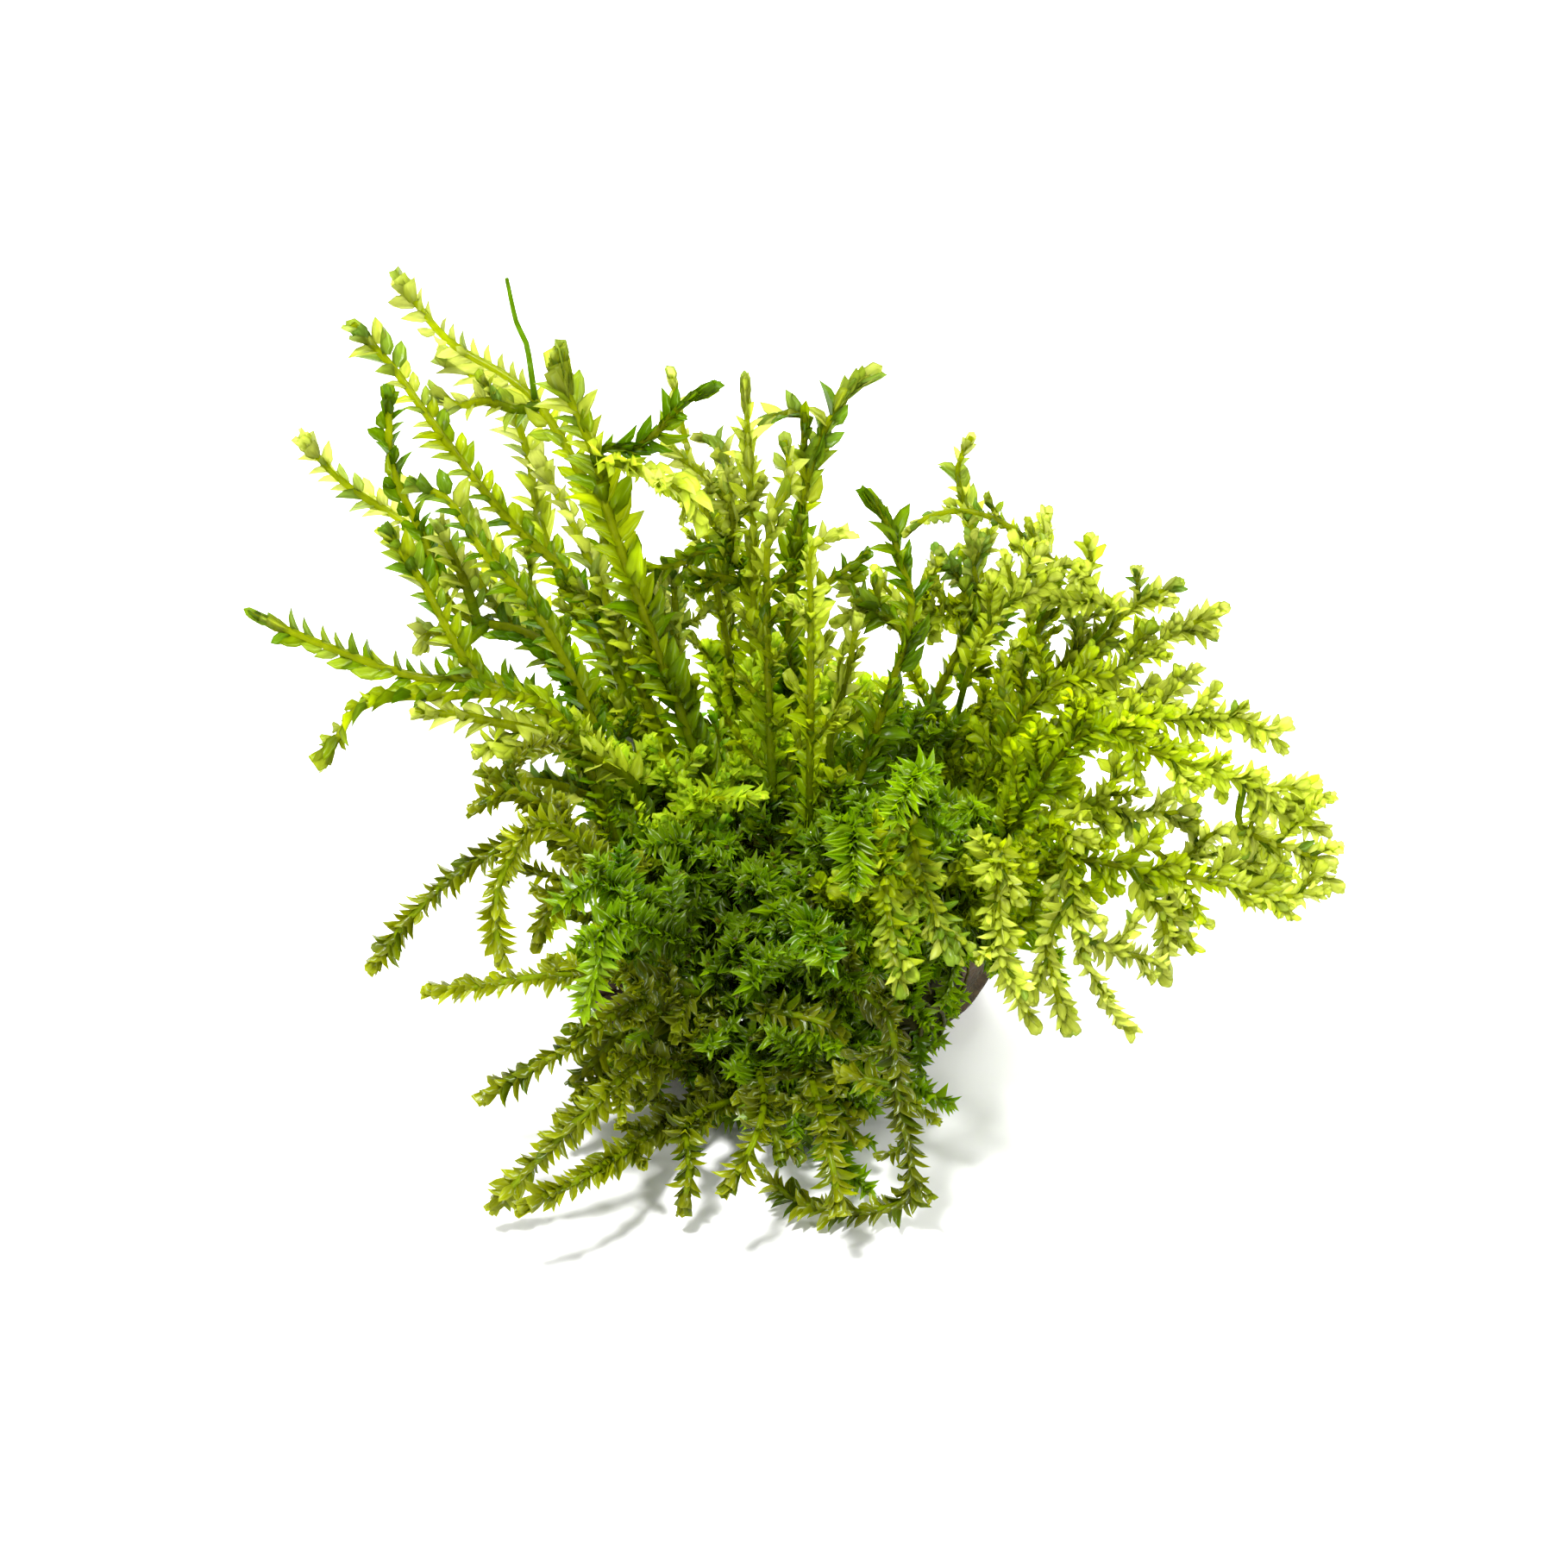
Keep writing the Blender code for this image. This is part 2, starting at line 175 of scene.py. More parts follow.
def smoothPath(points):
    # A smooth curve through the points, read at even steps
    ends = [2 * points[0] - points[1]] + points + [2 * points[-1] - points[-2]]
    fine = []
    for a, b, c, d in zip(ends, ends[1:], ends[2:], ends[3:]):
        for k in range(curveSteps):
            t = k / curveSteps
            fine.append(0.5 * (2 * b + (c - a) * t + (2 * a - 5 * b + 4 * c - d) * t ** 2
                               + (3 * b - a - 3 * c + d) * t ** 3))
    fine.append(points[-1])
    path, left = [fine[0]], pathStep
    for a, b in zip(fine, fine[1:]):
        length = (b - a).length
        while left <= length:
            path.append(a.lerp(b, left / length))
            left += pathStep
        left -= length
    return path


def pathFrames(path, facing, turn, twist):
    # Directions along, across and facing at each point; the flat side faces the given way
    frames = []
    for k in range(len(path)):
        along = (path[min(k + 1, len(path) - 1)] - path[max(k - 1, 0)]).normalized()
        level = (facing - along * facing.dot(along)).normalized()
        level = Matrix.Rotation(turn + twist * k / len(path), 3, along) @ level
        frames.append((along, level.cross(along), level))
    return frames


def growPath(start, heading, length, lean, wander, rng):
    # A shoot that sets off one way, bends towards lean and wanders a little
    path, drift = [start.copy()], Vector((0, 0, 0))
    count = max(4, round(length * mm / pathStep))
    for _ in range(count):
        drift = drift * keptDrift + Vector([rng.gauss(0, wander) for _ in range(3)])
        heading = (heading + lean / count + drift).normalized()
        path.append(path[-1] + heading * pathStep)
        path[-1].z = max(path[-1].z, lowest)
    return path


# leaves, each measured at rows from its base (0) to its tip (1): how wide it is there, how far its
# edges fold towards the stem, how far its tip bends outwards, and how thick its middle is

leafShapes = {
    "open": {"rows": (0, 0.32, 0.68, 1), "widths": (0.55, 1.0, 0.72, 0),
             "cup": 0.26, "recurve": 0.12, "thick": 0.07},
    "bud": {"rows": (0, 0.35, 0.78, 1), "widths": (0.6, 1.0, 0.9, 0),
            "cup": 0.32, "recurve": -0.16, "thick": 0.07},
    "knob": {"rows": (0, 0.35, 0.75, 1), "widths": (0.6, 1.0, 0.95, 0.3),
             "cup": 0.36, "recurve": -0.42, "thick": 0.07},
    "short": {"rows": (0, 0.5, 1), "widths": (0.6, 1.0, 0.25), "cup": 0.3, "recurve": 0.05, "thick": 0.08},
    "spike": {"rows": (0, 0.4, 1), "widths": (0.5, 1.0, 0), "cup": 0.3, "recurve": 0.1, "thick": 0.08},
}
toneCells = 8                # the colour chart has 8 columns of tones and 8 rows: stems, then 7 ages
cellRim = 0.06               # share of a cell that is left free around a leaf
threadCell = (0, 3)          # column and row that a bare green thread takes its colour from
floorRoom = {"below": 0.5, "least": 0.1, "soft": 0.4}       # leaves that would touch the floor lie down


def leafTemplate(leaf):
    # A thin closed lens, 1 long along +Y and 1 wide, its convex back up
    bm = bmesh.new()
    rows = len(leaf["rows"]) - 1
    bmesh.ops.create_grid(bm, x_segments=2, y_segments=rows, size=0.5)
    uv = bm.loops.layers.uv.new("OFBake")
    for face in bm.faces:
        for loop in face.loops:
            y = leaf["rows"][round((loop.vert.co.y + 0.5) * rows)]
            loop[uv].uv = (loop.vert.co.x + 0.5, y)
    copy = bmesh.ops.duplicate(bm, geom=bm.verts[:] + bm.edges[:] + bm.faces[:])["geom"]
    inner = {item for item in copy if isinstance(item, bmesh.types.BMVert)}
    bmesh.ops.reverse_faces(bm, faces=[item for item in copy if isinstance(item, bmesh.types.BMFace)])
    for vert in bm.verts:
        x, k = vert.co.x, round((vert.co.y + 0.5) * rows)
        y, width = leaf["rows"][k], leaf["widths"][k]
        z = leaf["recurve"] * y ** 2.5 - leaf["cup"] * (2 * x) ** 2 * width
        if vert in inner and 0 < k < rows and abs(x) < 0.1:
            z -= leaf["thick"]
        vert.co = (x * width, y, z)
    bmesh.ops.remove_doubles(bm, verts=bm.verts[:], dist=1e-4)
    bmesh.ops.triangulate(bm, faces=bm.faces[:])
    mesh = meshFrom(bm, "leafTemplate")
    corners = np.array([vert.co[:] for vert in mesh.vertices])
    tris = np.array([face.vertices[:] for face in mesh.polygons])
    uvs = np.array([item.uv[:] for item in mesh.uv_layers["OFBake"].data])
    bpy.data.meshes.remove(mesh)
    return corners, tris, uvs


templates = {key: leafTemplate(leaf) for key, leaf in leafShapes.items()}
print("stage: leaf templates", [len(template[1]) for template in templates.values()])


def leavesMesh(name, template, places):
    # One mesh of many leaves: a place is (base, side, direction, back, column, row, sway), where
    # sway bends the leaf's tip sideways
    corners, tris, uvs = template
    base, side, direction, back = (np.array([place[k][:] for place in places]) for k in range(4))
    cells, sway = np.array([place[4:6] for place in places]), np.array([place[6] for place in places])
    x, y, z = (corners[None, :, k:k + 1] for k in range(3))
    x = x + sway[:, None, None] * y ** 2
    verts = base[:, None] + x * side[:, None] + y * direction[:, None] + z * back[:, None]
    low = verts[..., 2] < floorRoom["below"] * mm
    depth = verts[..., 2][low] / (floorRoom["soft"] * mm) - floorRoom["below"] / floorRoom["soft"]
    verts[..., 2][low] = (floorRoom["least"] + floorRoom["soft"] * np.exp(depth)) * mm
    tris = tris[None] + (np.arange(len(places)) * len(corners))[:, None, None]
    uvs = (cells[:, None] + cellRim + (1 - 2 * cellRim) * uvs[None]) / toneCells
    mesh = bpy.data.meshes.new(name)
    mesh.vertices.add(verts.shape[0] * verts.shape[1])
    mesh.vertices.foreach_set("co", verts.ravel())
    mesh.loops.add(tris.size)
    mesh.loops.foreach_set("vertex_index", tris.ravel())
    mesh.polygons.add(tris.size // 3)
    mesh.polygons.foreach_set("loop_start", np.arange(0, tris.size, 3))
    mesh.uv_layers.new(name="OFBake").data.foreach_set("uv", uvs.ravel())
    mesh.update(calc_edges=True)
    return mesh


def stemsMesh(name, stems, cell=None):
    # Round tapered stems: each is (points, radius at the root, radius at the tip); they take the
    # stem colour, or that of one leaf cell of the chart
    curve = bpy.data.curves.new(name, "CURVE")
    curve.dimensions = "3D"
    curve.bevel_depth = 1
    curve.bevel_resolution = 1
    curve.use_fill_caps = True
    for points, root, tip in stems:
        points = points[::3] + ([points[-1]] if (len(points) - 1) % 3 else [])
        spline = curve.splines.new("POLY")
        spline.points.add(len(points) - 1)
        for k, (knot, point) in enumerate(zip(spline.points, points)):
            share = k / (len(points) - 1)
            knot.co = (*point, 1)
            knot.radius = (root + (tip - root) * share) * mm
    item = addObject(name, curve)
    graph = bpy.context.evaluated_depsgraph_get()
    mesh = bpy.data.meshes.new_from_object(item.evaluated_get(graph))
    bpy.data.objects.remove(item)
    layer = mesh.uv_layers[0]
    layer.name = "OFBake"
    uvs = np.zeros(len(layer.data) * 2)
    layer.data.foreach_get("uv", uvs)
    uvs = uvs.reshape(-1, 2) * (1, 1 - 2 * cellRim) + (0, cellRim)
    uvs = uvs / (1, toneCells) if cell is None else (uvs * 0.9 + cell) / toneCells
    layer.data.foreach_set("uv", uvs.ravel())
    return mesh


# shoots

def makeShoot(path, kind, facing, rng, turn, twist, bare, vigour, fade, tone):
    # bare is the length of stem without leaves, fade how far the young colour reaches from the tip
    return {"path": path, "frames": pathFrames(path, facing, turn, twist), "kind": kind, "bare": bare,
            "vigour": vigour, "fade": fade, "tone": tone + rng.gauss(0, 0.8), "flip": rng.choice((-1, 1))}


def pathLength(path):
    return (len(path) - 1) * pathStep / mm


leafing = {                  # how the leaves sit on every shoot
    "stray": 9,              # degrees, where a kind gives none
    "turnStray": 14,
    "budShare": 0.7,         # share of budLength that is closed bud
    "budPitch": 0.8,         # its leaves are closer together
    "budStray": 5,
    "small": 0.85,           # size of bud leaves and of those close to the stem
    "close": 0.5,            # share of the spread that those close to the stem have
    "usualWay": 0.85,        # share of the side leaves that turn the usual way
    "swell": 0.14,           # leaves grow larger and smaller along the stem
    "ageStray": 0.07,
    "toneStray": 1.3,
}


def leafPlaces(shoot, rng):
    # Leaves in four rows: two spread flat to the sides, two closer to the stem; a bud ends the shoot
    path, kind = shoot["path"], shoot["kind"]
    length, stray = pathLength(path), kind.get("stray", leafing["stray"])
    places, reach, number = [], shoot["bare"], rng.randrange(4)
    wave = rng.uniform(0, math.tau)
    while reach < length - 0.4 * kind["leafLength"]:
        left = length - reach
        near = min(1, left / kind["budLength"])      # 0 at the very tip
        lateral = number % 2 == 0
        bud = near < leafing["budShare"]
        number += 1
        step = kind["pitch"] / 4 * (leafing["budPitch"] if bud else 1) * rng.uniform(0.8, 1.2)
        if not lateral and not bud and rng.random() > kind["between"]:
            reach += step
            continue
        k = min(int(reach * mm / pathStep), len(path) - 2)
        along, across, facing = shoot["frames"][k]
        turn = math.radians((90, 0, -90, 180)[(number - 1) % 4] + rng.gauss(0, leafing["turnStray"]))
        radial = facing * math.cos(turn) + across * math.sin(turn)
        spread = kind["spread"] * (1 if lateral else leafing["close"]) + rng.gauss(0, stray)
        if bud:
            inner, outer = kind["tipSpread"]
            spread = inner + (outer - inner) * near + rng.gauss(0, leafing["budStray"])
        spread = math.radians(spread)
        direction = along * math.cos(spread) + radial * math.sin(spread)
        back = radial * math.cos(spread) - along * math.sin(spread)
        sway = rng.uniform(-0.1, 0.1)
        if lateral and not bud:
            # the side leaves turn flat, one side more than the other, and hook towards the shoot's tip
            side = 1 if number % 4 == 1 else -1
            way = side * shoot["flip"] * (1 if rng.random() < leafing["usualWay"] else -1)
            roll = rng.uniform(*kind["roll"]) * (1 if side == shoot["flip"] else kind["flatness"])
            back = Matrix.Rotation(math.radians(roll) * way, 3, direction) @ back
            sway = kind["hook"] * rng.uniform(0.5, 1.5) * way
        vary = stray * 0.02
        size = rng.uniform(1 - vary, 1 + vary) * (leafing["small"] if bud or not lateral else 1)
        size *= 1 + leafing["swell"] * math.sin(reach + wave)
        long = kind["leafLength"] * size * mm
        wide = kind["leafWidth"] * size * rng.uniform(0.9, 1.1) * (kind["tipWidth"] if bud else 1) * mm
        base = path[k].lerp(path[k + 1], reach * mm / pathStep - k) + radial * kind["stem"] * 0.5 * mm
        youth = shoot["vigour"] * (1 - left / shoot["fade"]) + rng.gauss(0, leafing["ageStray"])
        row = 1 + int(6.99 * min(1, max(0, youth)))       # row 0 is the stems'
        column = int(min(toneCells - 1, max(0, shoot["tone"] + rng.gauss(0, leafing["toneStray"]))))
        place = (base, direction.cross(back) * wide, direction * long, back * long, column, row, sway)
        places.append((kind["tipLeaf"] if bud else kind["leaf"], place))
        reach += step
    return places


twigging = {                 # how twigs leave every shoot
    "sizes": (0.6, 1.15),
    "angleStray": 10,
    "follow": 0.45,          # how far a twig bends to its parent's way
    "rise": Vector((0, 0, 0.12)),
    "wander": 0.035,
    "bare": 0.3,
    "smaller": 0.55,         # size of twigs on twigs
    "forkedFrom": 2.5 * mm,  # length from which a twig can have them
}


def sideTwigs(shoot, rng, shrink=1.0):
    # Twigs left and right in turn, shorter towards the tip
    kind, path = shoot["kind"], shoot["path"]
    length = pathLength(path)
    low, high = (size * shrink for size in kind["branchLength"])
    twigs = []
    reach = kind["branchFrom"] * length + rng.uniform(0, kind["branchPitch"])
    sign = rng.choice((-1, 1))
    while reach < kind["branchTo"] * length:
        k = int(reach * mm / pathStep)
        along, across, facing = shoot["frames"][k]
        share = (reach / length - kind["branchFrom"]) / (kind["branchTo"] - kind["branchFrom"])
        size = (high + (low - high) * share) * rng.uniform(*twigging["sizes"])
        angle = math.radians(kind["branchAngle"] + rng.gauss(0, twigging["angleStray"]))
        out = (across * sign + facing * rng.gauss(0, kind["branchLift"])).normalized()
        heading = along * math.cos(angle) + out * math.sin(angle)
        lean = along * twigging["follow"] + twigging["rise"]
        grown = growPath(path[k], heading, size, lean, twigging["wander"], rng)
        vigour = shoot["vigour"] * (0.4 + 0.6 * max(0, 1 - (length - reach) / shoot["fade"]))
        twigs.append(makeShoot(grown, dict(kind, **kind["branchKind"]), facing, rng, rng.uniform(-0.6, 0.6),
                               rng.uniform(-0.8, 0.8), twigging["bare"], vigour * rng.uniform(0.85, 1.1),
                               shoot["fade"], shoot["tone"]))
        reach += kind["branchPitch"] * rng.uniform(0.6, 1.4)
        sign = -sign
    return twigs


def finishPiece(name, parts, material, nodes):
    # Joins the parts of a piece into one mesh and gives it its place in the frame
    bm = bmesh.new()
    for part in parts:
        bm.from_mesh(part)
        bpy.data.meshes.remove(part)
    mesh = meshFrom(bm, name)
    mesh.shade_smooth()
    mesh.set_sharp_from_angle(angle=math.radians(95))
    mesh.materials.append(material)
    piece = addObject(name, mesh)
    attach(piece, "root")
    if nodes:
        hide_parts(*nodes)
    print("stage:", name, len(mesh.polygons), "faces")
    return piece


def mossPiece(name, shoots, rng, material, nodes=(), bareStems=(), threads=()):
    # Leaves and stems of many shoots as one piece, with bare stems and green threads if there are any
    leaves, stems = {key: [] for key in templates}, list(bareStems)
    for shoot in shoots:
        for key, place in leafPlaces(shoot, rng):
            leaves[key].append(place)
        radius = shoot["kind"]["stem"]
        stems.append((shoot["path"], radius, radius * 0.6))
    parts = [leavesMesh(name, templates[key], places) for key, places in leaves.items() if places]
    print("      ", name, len(shoots), "shoots with", sum(map(len, leaves.values())), "leaves")
    parts.append(stemsMesh(name, stems))
    if threads:
        parts.append(stemsMesh(name, threads, threadCell))
    finishPiece(name, parts, material, nodes)


mat = {
    "centre": Vector((2.5, -0.5, 5.6)) * mm,
    "radii": Vector((9.6, 9.6, 8.4)) * mm,
    "buried": 0.86,          # stems are left out inside this share of the dome
    "edge": 0.9,             # how near a side shoot is to the dome is measured from this share
    "rootShare": 0.93,       # the short moss is rooted at this share,
    "lowestRoot": 1.2 * mm,  # not nearer to the floor than this
    "woodRoom": 0.4 * mm,    # and not nearer to the wood than this
}


def matShare(point):
    # 1 on the mat's dome, less inside it
    return math.sqrt(sum((part / radius) ** 2 for part, radius in zip(point - mat["centre"], mat["radii"])))


def pathFromMat(points):
    # A stem from the middle of the mat, without what is buried in it
    path = smoothPath([mat["centre"].copy()] + points)
    return path[max([k for k, point in enumerate(path) if matShare(point) < mat["buried"]] or [0]):]


joining = {                  # how a side shoot leaves its parent
    "touching": 0.4 * mm,    # nearer than this, its first guide point is on the stem already
    "firstTwig": 0.15,       # its twigs start beyond this share of its length, and beyond where it
    "twigGap": 0.1,          # is free of its parent, by this share
    "bareStart": 0.2,
    "bareShare": 0.8,        # share of the stretch beside its parent that has no leaves
}
threadRadii = (0.22, 0.13)   # at the root and at the tip of a bare thread
rooted = []                  # the stems of all shoots and side shoots so far


def sideShootPath(points):
    # A side shoot sets off from the nearest stem, a little nearer to that stem's root, or from the mat.
    # The second value is the share of its path that lies before the first of its own points
    gap, number, k = min(((point - points[0]).length, number, k)
                         for number, stem in enumerate(rooted) for k, point in enumerate(stem))
    if (matShare(points[0]) - mat["edge"]) * mat["radii"].x < gap:
        path = pathFromMat(points)
    else:
        start = rooted[number][max(0, k - round(gap / pathStep))]
        path = smoothPath([start] + points[1 if gap < joining["touching"] else 0:])
    first = min(range(len(path)), key=lambda k: (path[k] - points[0]).length)
    return path, first / len(path)


def makeFronds(region, material, nodeCount):
    rng = random.Random(region["seed"])
    shoots = []
    for number, (turn, guide) in enumerate(region["fronds"] + region.get("offshoots", [])):
        points = [seenPoint(*place) for place in guide]
        tone, vigour = region.get("moods", {}).get(number, (region["tone"] + rng.gauss(0, 0.9), 1))
        kind = dict(region["kind"], **region.get("special", {}).get(number, {}))
        if number < len(region["fronds"]):
            path, bare = pathFromMat(points), 0
        else:
            path, share = sideShootPath(points)
            kind["branchFrom"] = max(joining["firstTwig"], share) + joining["twigGap"]
            bare = joining["bareStart"] + joining["bareShare"] * share * len(path) * pathStep / mm
        rooted.append(path)
        shoots.append(makeShoot(path, kind, front, rng, math.radians(turn), 0, bare, vigour,
                                region["fade"], tone))
    for shoot in list(shoots):
        twigs = sideTwigs(shoot, rng)
        shoots += twigs
        for small in twigs:
            chosen = rng.random() < region.get("forked", 0)
            if chosen and len(small["path"]) * pathStep > twigging["forkedFrom"]:
                shoots += sideTwigs(small, rng, twigging["smaller"])
    threads = [(smoothPath([seenPoint(*place) for place in guide]), *threadRadii)
               for guide in region.get("threads", [])]
    stem = region["name"].replace("fronds", "shoot")
    nodes = [f"{stem}_{k + 1}" for k in range(nodeCount)]
    mossPiece(region["name"], shoots, rng, material, nodes, threads=threads)


# shader nodes

def newGroup(name, inputs, outputs):
    group = bpy.data.node_groups.new(name, "ShaderNodeTree")
    for socketName, kind, value in inputs:
        socket = group.interface.new_socket(socketName, in_out="INPUT", socket_type=kind)
        socket.default_value = value
    for socketName, kind in outputs:
        group.interface.new_socket(socketName, in_out="OUTPUT", socket_type=kind)
    return group, group.nodes.new("NodeGroupInput").outputs, group.nodes.new("NodeGroupOutput")


def calc(operation, first, second=None, clamp=False):
    return addNode("ShaderNodeMath", {0: first, 1: second}, operation=operation, use_clamp=clamp).outputs[0]


plus, minus, times = (partial(calc, operation) for operation in ("ADD", "SUBTRACT", "MULTIPLY"))


def mixed(factor, first, second):
    # Mix sockets share their names between types, so the colour ones are picked by their place
    return addNode("ShaderNodeMix", {0: factor, 6: first, 7: second}, data_type="RGBA").outputs[2]


def splitVector(vector):
    return addNode("ShaderNodeSeparateXYZ", {0: vector}).outputs


def noiseOn(vector, scale, detail=2.0, distortion=0.0):
    values = {"Vector": vector, "Scale": scale, "Detail": detail, "Distortion": distortion}
    return addNode("ShaderNodeTexNoise", values).outputs["Fac"]


def addBump(shader, height, strength, distance):
    bump = addNode("ShaderNodeBump", {"Height": height, "Strength": strength, "Distance": distance})
    feed(shader, {"Normal": bump.outputs["Normal"]})


# moss colours

leafColours = ("Old", "Grown", "Young", "Stem", "Margin")


def mossColourGroup():
    # Reads the chart on the piece's own UV map: column = tone, row = age, and the place on the leaf
    colour, value = "NodeSocketColor", "NodeSocketFloat"
    tree, given, out = newGroup(
        "mossColour",
        [(name, colour, (0.2, 0.4, 0.03, 1)) for name in leafColours]
        + [("Margin amount", value, 0.3), ("Painted glints", value, 0.0), ("Darkest", value, 0.6),
           ("Lightest", value, 1.1)],
        [("Colour", colour), ("Roughness", value), ("Height", value)])
    uvMap = tree.nodes.new("ShaderNodeUVMap")
    uvMap.uv_map = "OFBake"
    chart = splitVector(uvMap.outputs["UV"])
    across, along = times(chart["X"], toneCells), times(chart["Y"], toneCells)
    column, row = calc("FLOOR", across), calc("FLOOR", along)
    x, y = calc("FRACT", across), calc("FRACT", along)
    isLeaf = calc("GREATER_THAN", row, 0.5)

    age = calc("DIVIDE", minus(row, 1), 6, True)
    body = mixed(times(age, 2, True), given["Old"], given["Grown"])
    body = mixed(minus(times(age, 2), 1, True), body, given["Young"])

    # the edges and the very tip take another colour, painted edge light: pale painted glints on the deep,
    # core and old moss, dark painted outlines on the bright and crown moss
    edge = times(calc("ABSOLUTE", minus(x, 0.5)), 2)
    rim = calc("MAXIMUM", calc("POWER", edge, 5), calc("POWER", y, 9))
    rim = times(times(rim, given["Margin amount"]), isLeaf, True)
    body = mixed(rim, body, given["Margin"])
    body = mixed(isLeaf, given["Stem"], body)

    # long cells run from the base to the tip of a leaf, and a short pale streak on some is a painted glint
    streak = addNode("ShaderNodeCombineXYZ", {"X": plus(times(x, 9), times(column, 17)),
                                              "Y": plus(times(y, 2.2), times(row, 11))})
    cells = noiseOn(streak.outputs[0], 1.0)
    # wet holds the mask of the painted glint, a thin pale streak near one side of a leaf
    wet = minus(1, calc("DIVIDE", calc("ABSOLUTE", minus(x, 0.3)), 0.1), True)
    wet = times(wet, times(minus(cells, 0.48), 9, True))
    wet = times(times(wet, given["Painted glints"]), isLeaf)

    shade = times(calc("DIVIDE", column, toneCells - 1), minus(given["Lightest"], given["Darkest"]))
    shade = plus(shade, given["Darkest"])
    shade = plus(shade, times(minus(cells, 0.5), 0.5))
    shade = plus(shade, times(minus(y, 0.35), 0.2))
    shade = calc("MAXIMUM", shade, 0.1)
    cast = mixed(calc("DIVIDE", column, 3, True), (0.74, 1, 0.7, 1), (1, 1, 1, 1))
    tinted = addNode("ShaderNodeVectorMath", {0: body, 1: cast}, operation="MULTIPLY")
    bright = addNode("ShaderNodeVectorMath", {0: tinted.outputs[0], "Scale": shade}, operation="SCALE")
    # the pale colour that the streak mask mixes in is a painted glint
    feed(out, {"Colour": mixed(wet, bright.outputs[0], (0.75, 0.84, 0.5, 1)),
               "Roughness": plus(times(cells, 0.35), 0.06), "Height": cells})
    return tree


mossColour = mossColourGroup()


def mossMaterial(name, looks):
    # Wet leaves one cell thick: glossy green on top, yellow-green light through them
    material, nodes, shader = newMaterial(name)
    surface, through = nodes.new("ShaderNodeGroup"), nodes.new("ShaderNodeGroup")
    for group, colours in ((surface, looks["surface"]), (through, looks["through"])):
        group.node_tree = mossColour
        feed(group, {socket: (*colour, 1) for socket, colour in zip(leafColours, colours)})
        # how much painted edge light and how many painted glints the leaves take
        feed(group, {"Margin amount": looks["paintedEdgeAmount"], "Painted glints": looks["paintedGlints"],
                     "Darkest": looks["tones"][0], "Lightest": looks["tones"][1]})
    feed(shader, {"Base Color": surface.outputs["Colour"], "Roughness": surface.outputs["Roughness"],
                  "Specular IOR Level": looks["gloss"], "IOR": 1.4, "Coat Weight": looks["wet"],
                  "Coat Roughness": 0.06, "Coat IOR": 1.33})
    addBump(shader, surface.outputs["Height"], 0.3, 0.06 * mm)
    glow = addNode("ShaderNodeBsdfTranslucent", {"Color": through.outputs["Colour"]})
    mix = addNode("ShaderNodeMixShader", {"Fac": looks["throughShare"], 1: shader.outputs[0],
                                          2: glow.outputs[0]})
    feed(nodes["Material Output"], {"Surface": mix.outputs[0]})
    return material


# colours of old, grown and young leaves, stems and leaf edges, on the surface and for light
# that comes through; the edge colour is painted edge light and the streaks are painted glints
brightMoss = mossMaterial("brightMoss", {
    "surface": [(0.2, 0.285, 0.002), (0.325, 0.41, 0.004), (0.5, 0.58, 0.05), (0.23, 0.28, 0.002),
                (0.08, 0.11, 0.002)],
    "through": [(0.66, 0.8, 0.006), (0.79, 0.87, 0.05), (0.92, 0.95, 0.44), (0.54, 0.59, 0.005),
                (0.25, 0.32, 0.006)],
    "paintedEdgeAmount": 1.0, "paintedGlints": 0.25, "tones": (0.52, 1.08),
    "gloss": 0.12, "wet": 0.15, "throughShare": 0.72,
})
# a darker, greener copy for the lower and back fronds; its darkness is partly painted shade of the clump's
# underside
deepMossPaintedShade = mossMaterial("deepMossPaintedShade", {
    "surface": [(0.107, 0.132, 0.001), (0.168, 0.206, 0.001), (0.29, 0.335, 0.002), (0.26, 0.36, 0.002),
                (0.6, 0.63, 0.12)],
    "through": [(0.47, 0.51, 0.001), (0.59, 0.66, 0.002), (0.745, 0.79, 0.01), (0.56, 0.68, 0.003),
                (0.85, 0.88, 0.2)],
    "paintedEdgeAmount": 0.6, "paintedGlints": 0.8, "tones": (0.38, 0.94),
    "gloss": 0.16, "wet": 0.3, "throughShare": 0.62,
})
# a darker copy for the middle fronds and the side and front thickets; its darkness is partly painted shade
# of the clump's middle
coreMossPaintedShade = mossMaterial("coreMossPaintedShade", {
    "surface": [(0.085, 0.135, 0.001), (0.12, 0.205, 0.001), (0.2, 0.3, 0.002), (0.13, 0.21, 0.001),
                (0.36, 0.46, 0.05)],
    "through": [(0.44, 0.6, 0.002), (0.5, 0.73, 0.002), (0.64, 0.84, 0.008), (0.42, 0.56, 0.002),
                (0.66, 0.8, 0.1)],
    "paintedEdgeAmount": 0.6, "paintedGlints": 1.0, "tones": (0.6, 0.98),
    "gloss": 0.28, "wet": 0.4, "throughShare": 0.6,
})
